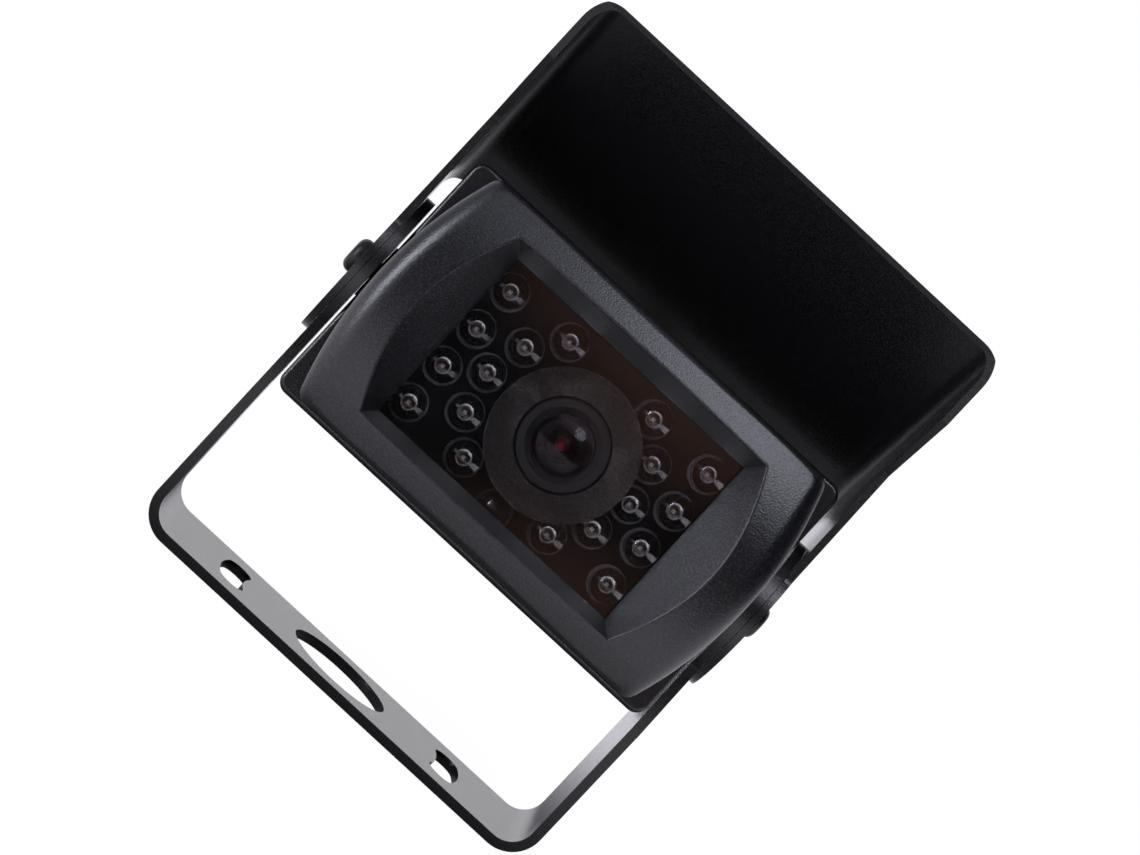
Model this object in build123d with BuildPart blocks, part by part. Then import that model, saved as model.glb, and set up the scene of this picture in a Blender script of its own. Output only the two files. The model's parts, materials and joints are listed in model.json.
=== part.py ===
"""Infrared reversing camera for a vehicle, on a U bracket, under a folding sun visor.

Three rigid groups share one cross axis, the pivot: the bracket, which is screwed to the
vehicle, the camera head, which tilts in it, and the visor, which tilts about the head.

Row frame: X to the right as seen from in front of the lens, the lens looks along -Y, +Z up.
The origin is the centre of the bracket's underside, on the axis of its round hole.
"""

import os
from math import cos, radians, sin

from build123d import *

os.makedirs("parts", exist_ok=True)

# ---------------------------------------------------------------- driving dimensions (mm)

# Pose at rest
PIVOT_HEIGHT = 47.8          # pivot axis above the bracket's underside
HEAD_PITCH = 9.1             # lens axis above level, degrees
VISOR_PITCH = 45.4           # visor plate above level, degrees

# Camera head, seen along its own axis: width, height, and places along that axis
HEAD_WIDTH = 70.0
HEAD_HEIGHT = 43.3
HEAD_CORNER = 2.0
HEAD_WALL = 2.2
HEAD_REAR = -10.5            # outside of the rear cover, from the pivot
HOUSING_FRONT = 10.0
HOUSING_FRONT_WALL = 2.0
HOUSING_EDGE = 0.7
COVER_THICKNESS = 1.8
GASKET_THICKNESS = 0.8

# Front bezel
BEZEL_INSET = 0.65           # of the bezel inside the housing, above and below
BEZEL_CORNER_WIDTH = 62.5    # width along its straight top and bottom edges
BEZEL_MIDDLE_WIDTH = 69.6    # width across its bowed ends
BEZEL_CORNER = 2.0
BEZEL_CROWN_TOP = 25.9       # place of the crowned face on the head's axis
BEZEL_CROWN_RADIUS = 60.0    # crown from top to bottom
BEZEL_BOW_RADIUS = 260.0     # crown from side to side
BEZEL_EDGE = 1.5
BEZEL_GASKET = 0.5
GASKET_INSET = 0.4           # the gaskets' edges lie this far inside the shells'

# Window in the bezel
WINDOW_WIDTH = 43.2          # clear opening at the glass
WINDOW_BORDER = 6.55         # of the bezel above and below the clear opening
WINDOW_LIP = 0.6             # thickness of the lip in front of the glass
FUNNEL_CORNER_WIDTH = 47.3   # opening at the bezel's face, at its corners
FUNNEL_MIDDLE_WIDTH = 54.8   # opening at the bezel's face, across its bowed ends
FUNNEL_RISE = 2.25           # of the bevel above and below the clear opening
FUNNEL_DEPTH = 7.9           # from the bezel's face down to the lip
GLASS_THICKNESS = 1.8
GLASS_OVERLAP = 1.9          # hidden glass on each side of the clear opening
GLASS_BEVEL = 0.2
WINDOW_GASKET = 0.4

# Infrared LEDs and light sensor
LED_RADIUS = 2.5
LED_FLANGE_RADIUS = 2.9
LED_FLANGE_HEIGHT = 1.0
LED_HEIGHT = 8.6
LED_GLASS_GAP = 1.2          # from the tops of the LEDs to the glass
DOME_ROUND = 2.4             # rounding of the top of an LED or sensor body
LED_CUP_RADIUS = 0.6
LED_CUP_HEIGHT = 4.6
LED_CUP_MOUTH_RADIUS = 0.45
LED_CUP_DEPTH = 0.5
LED_CUP_TAPER = 30.0         # slope of the cup's wall, degrees
LED_RING_RADIUS = 13.8
LED_RING_STEP = 27.0         # degrees between neighbours on the ring
LED_COLUMN_X = 19.15
LED_COLUMN_PITCH = 7.1
LED_WINDOW_GAP = 0.3         # least gap from an LED's flange to the edge of the window
SENSOR_DOME_EDGE = 4.35      # light sensor from the lower edge of the LED board
SENSOR_DOME_HEIGHT = 7.2

# Boards
LED_BOARD_SIDE_GAP = 0.5     # from the board to the pivot bosses
LED_BOARD_END_GAP = 1.45     # from the board to the housing, above and below
BOARD_THICKNESS = 1.6
BOARD_CORNER = 1.5
LED_BOARD_FRONT = 3.0
SENSOR_BOARD_WIDTH = 37.0
SENSOR_BOARD_END_GAP = 2.45
STANDOFF_LENGTH = 3.4
STANDOFF_RADIUS = 2.4
STANDOFF_EDGE = 3.0          # screw centres from the edges of the sensor board
IMAGE_SENSOR_WIDTH = 7.0
IMAGE_SENSOR_HEIGHT = 6.4
IMAGE_SENSOR_THICKNESS = 0.9
CONNECTOR_WIDTH = 12.5
CONNECTOR_DEPTH = 4.8
CONNECTOR_HEIGHT = 3.4
CONNECTOR_WALL = 0.7
CONNECTOR_EDGE = 6.8         # from the upper edge of the sensor board
HEADER_WIDTH = 12.7
HEADER_DEPTH = 2.4
HEADER_EDGE = 3.4

# Lens, which sits a little right of and below the LED pattern's centre
LENS_X = 0.9
LENS_Y = -0.5
LENS_GLASS_GAP = 0.8         # from the barrel to the window glass
LENS_HEAD_RADIUS = 7.0
LENS_HEAD_LENGTH = 5.6
LENS_THREAD_RADIUS = 6.0
LENS_REAR = 0.8
LENS_MOUTH_RADIUS = 4.65
LENS_MOUTH_DEPTH = 0.9        # of the bevelled mouth in front of the glass
LENS_HEAD_CHAMFER = 0.35
LENS_PUPIL_RADIUS = 2.1
ELEMENT_SETBACK = 0.7         # front of the glass behind the front of the barrel
ELEMENT_THICKNESS = 1.9
ELEMENT_RADIUS = 9.0
CONE_DEPTH = 3.0
BAFFLE_RIM = 0.2
REAR_ELEMENT_SEAT = 1.4
REAR_ELEMENT_THICKNESS = 1.5
FOAM_RADIUS = 11.2
FOAM_REAR = 7.6
HOLDER_RADIUS = 7.4
HOLDER_FRONT = 5.6
HOLDER_BASE = 18.0
HOLDER_BASE_THICKNESS = 1.8
HOLDER_CORNER = 1.5
HOLDER_CLEARANCE = 0.6        # round the holder in the LED board

# Bracket, bent from sheet
BRACKET_SHEET = 1.5
BRACKET_INSIDE_BEND = 3.9
BRACKET_DEPTH = 24.6
ARM_END_RADIUS = 12.8
ARM_NECK_HALF = 8.8
ARM_NECK_BELOW = 9.3         # neck below the pivot
ARM_FLARE_BELOW = 21.6       # where the arm reaches its full depth, below the pivot
CABLE_HOLE_RADIUS = 8.6
SLOT_CIRCLE_RADIUS = 21.0
SLOT_WIDTH = 4.3
SLOT_SWEEP = 28.0            # degrees between the centres of a slot's round ends

# Visor, bent from sheet
VISOR_SHEET = 1.1
VISOR_OUTSIDE_BEND = 4.0
VISOR_ROOF = 26.5            # outside of the roof plate from the pivot
VISOR_ROOF_REAR = -2.5
VISOR_ROOF_FRONT = 48.0
VISOR_WING_FRONT = 40.4      # front foot of the side wing
VISOR_WING_LOW = 17.4        # lower edge of the side wing from the pivot
VISOR_WING_STEP = 23.5       # where the wing's lower edge turns down to the ear
VISOR_EAR_RADIUS = 12.7
VISOR_EAR_INSET = 0.5        # how far the wing's edges run in under the round of the ear
VISOR_EAR_FRONT = -5.0       # where they meet it, as angles about the pivot
VISOR_EAR_REAR = 166.0

# Pivot hardware
PIVOT_SCREW_RADIUS = 1.5
PIVOT_SCREW_LENGTH = 8.8
PIVOT_HEAD_RADIUS = 2.8
PIVOT_HEAD_HEIGHT = 1.65
PIVOT_HEAD_ROUND = 1.3
PIVOT_SOCKET = 2.0           # hexagon socket across its flats
PIVOT_SOCKET_DEPTH = 1.0
INSERT_RADIUS = 2.5
INSERT_LENGTH = 5.8
PIVOT_BOSS_RADIUS = 4.2
PIVOT_BOSS_FLOOR = 1.0       # of the boss behind the insert
WASHER_RADIUS = 4.5
WASHER_THICKNESS = 0.3

# Small screws: the bezel's, the rear cover's, the LED board's and the sensor board's
BEZEL_SCREW_X = 28.5
BEZEL_SCREW_Y = 8.6
BEZEL_SCREW_DEPTH = 5.0
COVER_SCREW_EDGE = 5.1       # screw centres from the edges of the rear cover
COVER_BOSS_RADIUS = 3.0
COVER_BOSS_LENGTH = 8.0
COVER_SCREW_DEPTH = 6.5
LED_SCREW_SIDE = 2.1         # screw centres from the ends of the LED board
LED_SCREW_EDGE = 3.4         # and from its long edges
LED_BOSS_RADIUS = 2.0
M25_RADIUS = 1.25
M25_HEAD_RADIUS = 2.25
M25_HEAD_HEIGHT = 1.4
M2_RADIUS = 1.0
M2_HEAD_RADIUS = 1.8
M2_HEAD_HEIGHT = 1.1
BOARD_SCREW_DEPTH = 2.6
PAN_ROUND = 0.4              # rounding of a pan head, as a share of its height
CROSS_LENGTH = 1.1           # cross recess, as shares of the head's radius and height
CROSS_WIDTH = 0.28
CROSS_DEPTH = 0.5

# Cable gland in the rear cover
GLAND_THREAD_RADIUS = 4.0
GLAND_BORE_RADIUS = 3.0
GLAND_HEX = 11.0             # across flats
GLAND_FLANGE = 2.6
GLAND_NECK = 4.6
GLAND_CAP_LENGTH = 6.2
GLAND_CAP_RADIUS = 5.4
GLAND_CAP_TAPER = 1.6
LOCK_NUT_THICKNESS = 2.2
CABLE_RADIUS = 2.25          # the cable that the gland's seal is made for
CAP_HOLE_GAP = 0.6           # round the cable in the cap
SEAL_LENGTH = 4.2

# Clearances
SIDE_GAP = 0.4               # from the head's side to the bracket's arm
WING_GAP = 0.1               # from the bracket's arm to the visor's wing
HEAD_GAP = 0.05              # from the visor's ear to the screw's head
PIVOT_CLEARANCE = 0.08       # round the pivot screws
SCREW_CLEARANCE = 0.15       # round the small screws where they pass through
BORE_CLEARANCE = 0.02        # between a thread and its nut, drawn as plain cylinders
FIT_GAP = 0.1                # round glass, boards and lens parts in their seats
OPENING_SIDE_GAP = 1.0       # round the LEDs in the housing's front wall
OPENING_END_GAP = 0.5
BLANK_ALLOWANCE = 1.0        # of a blank beyond the face that trims it

# ---------------------------------------------------------------- derived sizes and planes

COVER_FRONT = HEAD_REAR + COVER_THICKNESS
HOUSING_REAR = COVER_FRONT + GASKET_THICKNESS
HOUSING_WALL_REAR = HOUSING_FRONT - HOUSING_FRONT_WALL
BEZEL_REAR = HOUSING_FRONT + BEZEL_GASKET
CAVITY_WIDTH = HEAD_WIDTH - 2 * HEAD_WALL
CAVITY_HEIGHT = HEAD_HEIGHT - 2 * HEAD_WALL
COVER_SCREW_X = HEAD_WIDTH / 2 - COVER_SCREW_EDGE
COVER_SCREW_Y = HEAD_HEIGHT / 2 - COVER_SCREW_EDGE

BEZEL_HEIGHT = HEAD_HEIGHT - 2 * BEZEL_INSET
WINDOW_HEIGHT = BEZEL_HEIGHT - 2 * WINDOW_BORDER
FUNNEL_HEIGHT = WINDOW_HEIGHT + 2 * FUNNEL_RISE

GLASS_WIDTH = WINDOW_WIDTH + 2 * GLASS_OVERLAP
GLASS_HEIGHT = WINDOW_HEIGHT + 2 * GLASS_OVERLAP
GLASS_REAR = LED_BOARD_FRONT + LED_HEIGHT + LED_GLASS_GAP
GLASS_FRONT = GLASS_REAR + GLASS_THICKNESS
LIP_REAR = GLASS_FRONT + WINDOW_GASKET
LIP_FRONT = LIP_REAR + WINDOW_LIP
LENS_FRONT = GLASS_REAR - LENS_GLASS_GAP

LED_BOARD_REAR = LED_BOARD_FRONT - BOARD_THICKNESS
SENSOR_BOARD_FRONT = LED_BOARD_REAR - STANDOFF_LENGTH
SENSOR_BOARD_REAR = SENSOR_BOARD_FRONT - BOARD_THICKNESS

ARM_INSIDE = HEAD_WIDTH / 2 + SIDE_GAP
ARM_OUTSIDE = ARM_INSIDE + BRACKET_SHEET
WING_INSIDE = ARM_OUTSIDE + WING_GAP
WING_OUTSIDE = WING_INSIDE + VISOR_SHEET
SCREW_HEAD_SEAT = WING_OUTSIDE + HEAD_GAP
SCREW_TIP = SCREW_HEAD_SEAT - PIVOT_SCREW_LENGTH
INSERT_OUTSIDE = HEAD_WIDTH / 2 - FIT_GAP
INSERT_INSIDE = INSERT_OUTSIDE - INSERT_LENGTH
BOSS_INSIDE = min(INSERT_INSIDE, SCREW_TIP) - PIVOT_BOSS_FLOOR

LED_BOARD_WIDTH = 2 * (BOSS_INSIDE - LED_BOARD_SIDE_GAP)
LED_BOARD_HEIGHT = CAVITY_HEIGHT - 2 * LED_BOARD_END_GAP
LED_SCREW_X = LED_BOARD_WIDTH / 2 - LED_SCREW_SIDE
LED_SCREW_Y = LED_BOARD_HEIGHT / 2 - LED_SCREW_EDGE
SENSOR_DOME_Y = SENSOR_DOME_EDGE - LED_BOARD_HEIGHT / 2
SENSOR_BOARD_HEIGHT = CAVITY_HEIGHT - 2 * SENSOR_BOARD_END_GAP
STANDOFF_X = SENSOR_BOARD_WIDTH / 2 - STANDOFF_EDGE
STANDOFF_Y = SENSOR_BOARD_HEIGHT / 2 - STANDOFF_EDGE
CONNECTOR_Y = SENSOR_BOARD_HEIGHT / 2 - CONNECTOR_EDGE
HEADER_Y = SENSOR_BOARD_HEIGHT / 2 - HEADER_EDGE

FRONT_OPENING_WIDTH = 2 * (LED_COLUMN_X + LED_FLANGE_RADIUS + OPENING_SIDE_GAP)
FRONT_OPENING_HEIGHT = 2 * (LED_FLANGE_RADIUS - SENSOR_DOME_Y + OPENING_END_GAP)

SIDES = (-1, 1)


def tilted_plane(pitch):
    """Plane at the pivot that looks forward, pitched up by an angle: x right, y up, z forward."""
    angle = radians(pitch)
    return Plane(origin=(0, 0, PIVOT_HEIGHT), x_dir=(1, 0, 0), z_dir=(0, -cos(angle), sin(angle)))


def side_plane(x):
    """Plane across the pivot axis at x, facing away from the middle."""
    return Plane(origin=(x, 0, PIVOT_HEIGHT), x_dir=(0, 1, 0), z_dir=(1 if x > 0 else -1, 0, 0))


def section_plane(plane, x=0.0, y=0.0):
    """Plane through a forward axis at (x, y) of another plane: x is radial, y is forward."""
    origin = plane.origin + plane.x_dir * x + plane.y_dir * y
    return Plane(origin=origin, x_dir=plane.x_dir, z_dir=-plane.y_dir)


def outline_plane(plane):
    """Plane well out to the right of another plane, facing left: x is forward, y is up."""
    return Plane(origin=plane.origin + plane.x_dir * HEAD_WIDTH, x_dir=plane.z_dir, z_dir=-plane.x_dir)


HEAD = tilted_plane(HEAD_PITCH)
HEAD_AXIS = Axis(HEAD.origin, HEAD.z_dir)
VISOR = tilted_plane(VISOR_PITCH)

LENS_SECTION = section_plane(HEAD, LENS_X, LENS_Y)
LENS_AXIS = Axis(LENS_SECTION.origin, HEAD.z_dir)
GLAND_SECTION = section_plane(HEAD)

# As many LEDs as the window has room for, above and below its middle
LED_REACH = WINDOW_HEIGHT / 2 - LED_WINDOW_GAP - LED_FLANGE_RADIUS
LED_HALF_ROWS = int(LED_REACH / LED_COLUMN_PITCH + 0.5)
LED_COLUMN_Y = [(row + 0.5) * LED_COLUMN_PITCH for row in range(-LED_HALF_ROWS, LED_HALF_ROWS)]
LED_RING_ANGLES = [
    side + step * LED_RING_STEP
    for side in (0, 180)
    for step in (-2, -1, 0, 1, 2)
    if LED_RING_RADIUS * abs(sin(radians(step * LED_RING_STEP))) <= LED_REACH
]
LED_PLACES = [(side * LED_COLUMN_X, y) for side in SIDES for y in LED_COLUMN_Y]
LED_PLACES += [
    (LED_RING_RADIUS * cos(radians(a)), LED_RING_RADIUS * sin(radians(a))) for a in LED_RING_ANGLES
]


def corner_places(x, y):
    """The four corners of a rectangle, as places for screws."""
    return [(side * x, end * y) for side in SIDES for end in SIDES]


def pan_screw(places, seat, radius, length, head_radius, head_height):
    """Pan-head screws whose shanks run forward from a seat plane and whose heads lie behind it."""
    with BuildPart() as screws:
        with BuildSketch(HEAD.offset(seat)):
            with Locations(*places):
                Circle(radius)
        extrude(amount=length)
        with BuildSketch(HEAD.offset(seat)):
            with Locations(*places):
                Circle(head_radius)
        extrude(amount=-head_height)
        heads = screws.edges().group_by(HEAD_AXIS)[0]
        fillet(heads, radius=head_height * PAN_ROUND)
        with BuildSketch(HEAD.offset(seat - head_height)):
            with Locations(*places):
                Rectangle(head_radius * CROSS_LENGTH, head_radius * CROSS_WIDTH)
                Rectangle(head_radius * CROSS_WIDTH, head_radius * CROSS_LENGTH)
        extrude(amount=head_height * CROSS_DEPTH, mode=Mode.SUBTRACT)
    return screws


# ---------------------------------------------------------------- bracket

BLANK_HEIGHT = PIVOT_HEIGHT + 2 * ARM_END_RADIUS     # trimmed to the round ends below

with BuildPart() as bracket:
    with BuildSketch(Plane.XZ.offset(-BRACKET_DEPTH)):
        with Locations((0, BLANK_HEIGHT / 2)):
            RectangleRounded(2 * ARM_OUTSIDE, BLANK_HEIGHT, BRACKET_INSIDE_BEND + BRACKET_SHEET)
        with Locations((0, BLANK_HEIGHT / 2 + BRACKET_SHEET)):
            RectangleRounded(
                2 * ARM_INSIDE, BLANK_HEIGHT, BRACKET_INSIDE_BEND, mode=Mode.SUBTRACT
            )
    extrude(amount=2 * BRACKET_DEPTH)
    # Side outline: full depth at the foot, then a neck, then the round end on the pivot
    with BuildSketch(Plane.YZ.offset(-HEAD_WIDTH)):
        with BuildLine():
            Polyline(
                (-BRACKET_DEPTH / 2, -BRACKET_SHEET),
                (BRACKET_DEPTH / 2, -BRACKET_SHEET),
                (BRACKET_DEPTH / 2, PIVOT_HEIGHT - ARM_FLARE_BELOW),
                (ARM_NECK_HALF, PIVOT_HEIGHT - ARM_NECK_BELOW),
                (-ARM_NECK_HALF, PIVOT_HEIGHT - ARM_NECK_BELOW),
                (-BRACKET_DEPTH / 2, PIVOT_HEIGHT - ARM_FLARE_BELOW),
                close=True,
            )
        make_face()
        with Locations((0, PIVOT_HEIGHT)):
            Circle(ARM_END_RADIUS)
    extrude(amount=2 * HEAD_WIDTH, mode=Mode.INTERSECT)
    # Cable hole and the two arc slots round it, for turning the bracket on its screws
    with BuildSketch(Plane.XY):
        Circle(CABLE_HOLE_RADIUS)
        for start in (0, 180):
            SlotArc(
                CenterArc((0, 0), SLOT_CIRCLE_RADIUS, start - SLOT_SWEEP / 2, SLOT_SWEEP),
                SLOT_WIDTH,
            )
    extrude(amount=BRACKET_SHEET, mode=Mode.SUBTRACT)
    with BuildSketch(Plane.YZ):
        with Locations((0, PIVOT_HEIGHT)):
            Circle(PIVOT_SCREW_RADIUS + PIVOT_CLEARANCE)
    extrude(amount=HEAD_WIDTH, both=True, mode=Mode.SUBTRACT)

bracket.part.label = "bracket"
export_step(bracket.part, "parts/bracket.step")

# ---------------------------------------------------------------- visor

VISOR_REACH = 2 * VISOR_ROOF         # length of the bent blank below and behind the pivot


def ear_place(angle):
    """Point just inside the round of the visor's ear, as (forward, up) from the pivot."""
    reach = VISOR_EAR_RADIUS - VISOR_EAR_INSET
    return reach * cos(radians(angle)), reach * sin(radians(angle))


with BuildPart() as visor:
    with BuildSketch(VISOR.offset(-VISOR_REACH)):
        with Locations((0, VISOR_ROOF - VISOR_REACH)):
            RectangleRounded(2 * WING_OUTSIDE, 2 * VISOR_REACH, VISOR_OUTSIDE_BEND)
        with Locations((0, VISOR_ROOF - VISOR_REACH - VISOR_SHEET)):
            RectangleRounded(
                2 * WING_INSIDE,
                2 * VISOR_REACH,
                VISOR_OUTSIDE_BEND - VISOR_SHEET,
                mode=Mode.SUBTRACT,
            )
    extrude(amount=VISOR_REACH + 2 * VISOR_ROOF_FRONT)
    # Side outline in (forward, up): roof, slanted wing front, wing edge, and the round ear
    with BuildSketch(outline_plane(VISOR)):
        with BuildLine():
            Polyline(
                (VISOR_ROOF_REAR, VISOR_ROOF + VISOR_SHEET),
                (VISOR_ROOF_FRONT, VISOR_ROOF + VISOR_SHEET),
                (VISOR_ROOF_FRONT, VISOR_ROOF - VISOR_SHEET),
                (VISOR_WING_FRONT, VISOR_WING_LOW),
                (VISOR_WING_STEP, VISOR_WING_LOW),
                ear_place(VISOR_EAR_FRONT),
                ear_place(VISOR_EAR_REAR),
                (VISOR_ROOF_REAR, VISOR_ROOF - 2 * VISOR_SHEET),
                close=True,
            )
        make_face()
        Circle(VISOR_EAR_RADIUS)
        Circle(PIVOT_SCREW_RADIUS + PIVOT_CLEARANCE, mode=Mode.SUBTRACT)
    extrude(amount=2 * HEAD_WIDTH, mode=Mode.INTERSECT)

visor.part.label = "visor"
export_step(visor.part, "parts/visor.step")

# ---------------------------------------------------------------- housing

with BuildPart() as housing:
    with BuildSketch(HEAD.offset(HOUSING_REAR)):
        RectangleRounded(HEAD_WIDTH, HEAD_HEIGHT, HEAD_CORNER)
    extrude(amount=HOUSING_FRONT - HOUSING_REAR)
    fillet(housing.faces().sort_by(HEAD_AXIS)[-1].edges(), radius=HOUSING_EDGE)
    with BuildSketch(HEAD.offset(HOUSING_REAR)):
        RectangleRounded(CAVITY_WIDTH, CAVITY_HEIGHT, HEAD_CORNER / 2)
    extrude(amount=HOUSING_WALL_REAR - HOUSING_REAR, mode=Mode.SUBTRACT)
    # Bosses for the rear cover's screws, in the four corners
    with BuildSketch(HEAD.offset(HOUSING_REAR)):
        with Locations(*corner_places(COVER_SCREW_X, COVER_SCREW_Y)):
            Circle(COVER_BOSS_RADIUS)
    extrude(amount=COVER_BOSS_LENGTH)
    # Bosses that the LED board is screwed up to from behind
    with BuildSketch(HEAD.offset(LED_BOARD_FRONT)):
        with Locations(*corner_places(LED_SCREW_X, LED_SCREW_Y)):
            Circle(LED_BOSS_RADIUS)
    extrude(amount=HOUSING_WALL_REAR - LED_BOARD_FRONT)
    # Bosses for the threaded pivot inserts, inside the side walls
    for end in SIDES:
        with BuildSketch(side_plane(end * BOSS_INSIDE)):
            Circle(PIVOT_BOSS_RADIUS)
        extrude(amount=HEAD_WIDTH / 2 - HEAD_WALL - BOSS_INSIDE)
    # Opening in the front wall for the LEDs and the lens
    with BuildSketch(HEAD.offset(HOUSING_WALL_REAR)):
        Rectangle(FRONT_OPENING_WIDTH, FRONT_OPENING_HEIGHT)
        with Locations(*corner_places(BEZEL_SCREW_X, BEZEL_SCREW_Y)):
            Circle(M25_RADIUS + SCREW_CLEARANCE)
    extrude(amount=HOUSING_FRONT_WALL, mode=Mode.SUBTRACT)
    # Screw holes and insert seats
    with BuildSketch(HEAD.offset(HOUSING_REAR)):
        with Locations(*corner_places(COVER_SCREW_X, COVER_SCREW_Y)):
            Circle(M25_RADIUS + BORE_CLEARANCE)
    extrude(amount=COVER_SCREW_DEPTH, mode=Mode.SUBTRACT)
    with BuildSketch(HEAD.offset(LED_BOARD_FRONT)):
        with Locations(*corner_places(LED_SCREW_X, LED_SCREW_Y)):
            Circle(M2_RADIUS + BORE_CLEARANCE)
    extrude(amount=BOARD_SCREW_DEPTH + FIT_GAP, mode=Mode.SUBTRACT)
    for end in SIDES:
        with BuildSketch(side_plane(end * INSERT_INSIDE)):
            Circle(INSERT_RADIUS + BORE_CLEARANCE)
        extrude(amount=HEAD_WIDTH / 2 - INSERT_INSIDE, mode=Mode.SUBTRACT)

housing.part.label = "housing"
export_step(housing.part, "parts/housing.step")

# ---------------------------------------------------------------- front bezel

BLANK_TOP = BEZEL_CROWN_TOP + BLANK_ALLOWANCE
FUNNEL_STRETCH = (BLANK_TOP - LIP_FRONT) / FUNNEL_DEPTH


def stretched(inner, outer):
    """Half size of the window's funnel where its slope reaches the top of the blank."""
    return (inner + (outer - inner) * FUNNEL_STRETCH) / 2


def bowed_outline(corner_x, middle_x, y):
    """Outline with straight top and bottom edges and bowed ends."""
    with BuildSketch() as outline:
        with BuildLine():
            Line((-corner_x, y), (corner_x, y))
            ThreePointArc((corner_x, y), (middle_x, 0), (corner_x, -y))
            Line((corner_x, -y), (-corner_x, -y))
            ThreePointArc((-corner_x, -y), (-middle_x, 0), (-corner_x, y))
        make_face()
    return outline.sketch


BOW_AXIS = Axis(HEAD.origin + HEAD.z_dir * (BEZEL_CROWN_TOP - BEZEL_BOW_RADIUS), HEAD.y_dir)

with BuildPart() as crown:
    # A ring whose outside is the crowned face: an arc from top to bottom, bowed to the sides
    with BuildSketch(Plane(origin=HEAD.origin, x_dir=HEAD.z_dir, z_dir=-HEAD.x_dir)):
        with Locations((BEZEL_CROWN_TOP - BEZEL_CROWN_RADIUS, 0)):
            Circle(BEZEL_CROWN_RADIUS)
        with Locations((BEZEL_REAR - BLANK_ALLOWANCE, 0)):
            Rectangle(
                2 * BEZEL_CROWN_RADIUS,
                2 * BEZEL_CROWN_RADIUS,
                align=(Align.MIN, Align.CENTER),
                mode=Mode.INTERSECT,
            )
    revolve(axis=BOW_AXIS)

with BuildPart() as front_bezel:
    with BuildSketch(HEAD.offset(BEZEL_REAR)) as bezel_outline:
        add(bowed_outline(BEZEL_CORNER_WIDTH / 2, BEZEL_MIDDLE_WIDTH / 2, BEZEL_HEIGHT / 2))
        fillet(bezel_outline.vertices(), radius=BEZEL_CORNER)
    extrude(amount=BLANK_TOP - BEZEL_REAR)
    add(crown.part, mode=Mode.INTERSECT)
    fillet(front_bezel.faces().sort_by(HEAD_AXIS)[-1].edges(), radius=BEZEL_EDGE)
    # The window's funnel, from the straight clear opening out to a bowed rim
    with BuildSketch(HEAD.offset(LIP_FRONT)):
        with BuildLine():
            Polyline(
                (-WINDOW_WIDTH / 2, WINDOW_HEIGHT / 2),
                (WINDOW_WIDTH / 2, WINDOW_HEIGHT / 2),
                (WINDOW_WIDTH / 2, -WINDOW_HEIGHT / 2),
                (-WINDOW_WIDTH / 2, -WINDOW_HEIGHT / 2),
                close=True,
            )
        make_face()
    with BuildSketch(HEAD.offset(BLANK_TOP)):
        add(
            bowed_outline(
                stretched(WINDOW_WIDTH, FUNNEL_CORNER_WIDTH),
                stretched(WINDOW_WIDTH, FUNNEL_MIDDLE_WIDTH),
                stretched(WINDOW_HEIGHT, FUNNEL_HEIGHT),
            )
        )
    loft(ruled=True, mode=Mode.SUBTRACT)
    # Clear opening through the lip, and the seat for the glass behind it
    with BuildSketch(HEAD.offset(LIP_REAR)):
        Rectangle(WINDOW_WIDTH, WINDOW_HEIGHT)
    extrude(amount=WINDOW_LIP, mode=Mode.SUBTRACT)
    with BuildSketch(HEAD.offset(BEZEL_REAR)):
        Rectangle(GLASS_WIDTH + 2 * FIT_GAP, GLASS_HEIGHT + 2 * FIT_GAP)
    extrude(amount=LIP_REAR - BEZEL_REAR, mode=Mode.SUBTRACT)
    with BuildSketch(HEAD.offset(BEZEL_REAR)):
        with Locations(*corner_places(BEZEL_SCREW_X, BEZEL_SCREW_Y)):
            Circle(M25_RADIUS + BORE_CLEARANCE)
    extrude(amount=BEZEL_SCREW_DEPTH, mode=Mode.SUBTRACT)

front_bezel.part.label = "front_bezel"
export_step(front_bezel.part, "parts/front_bezel.step")

# ---------------------------------------------------------------- bezel gasket, window gasket, glass

with BuildPart() as bezel_gasket:
    with BuildSketch(HEAD.offset(HOUSING_FRONT)) as gasket_outline:
        add(bowed_outline(BEZEL_CORNER_WIDTH / 2, BEZEL_MIDDLE_WIDTH / 2, BEZEL_HEIGHT / 2))
        fillet(gasket_outline.vertices(), radius=BEZEL_CORNER)
        offset(amount=-GASKET_INSET, mode=Mode.REPLACE)
        Rectangle(GLASS_WIDTH + 2 * FIT_GAP, GLASS_HEIGHT + 2 * FIT_GAP, mode=Mode.SUBTRACT)
        with Locations(*corner_places(BEZEL_SCREW_X, BEZEL_SCREW_Y)):
            Circle(M25_RADIUS + SCREW_CLEARANCE, mode=Mode.SUBTRACT)
    extrude(amount=BEZEL_GASKET)

bezel_gasket.part.label = "bezel_gasket"
export_step(bezel_gasket.part, "parts/bezel_gasket.step")

with BuildPart() as window_glass:
    with BuildSketch(HEAD.offset(GLASS_REAR)):
        Rectangle(GLASS_WIDTH, GLASS_HEIGHT)
    extrude(amount=GLASS_THICKNESS)
    chamfer(window_glass.edges().filter_by(HEAD_AXIS, reverse=True), length=GLASS_BEVEL)

window_glass.part.label = "window_glass"
export_step(window_glass.part, "parts/window_glass.step")

with BuildPart() as window_gasket:
    with BuildSketch(HEAD.offset(GLASS_FRONT)):
        Rectangle(GLASS_WIDTH, GLASS_HEIGHT)
        Rectangle(WINDOW_WIDTH + FIT_GAP, WINDOW_HEIGHT + FIT_GAP, mode=Mode.SUBTRACT)
    extrude(amount=WINDOW_GASKET)

window_gasket.part.label = "window_gasket"
export_step(window_gasket.part, "parts/window_gasket.step")

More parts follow.
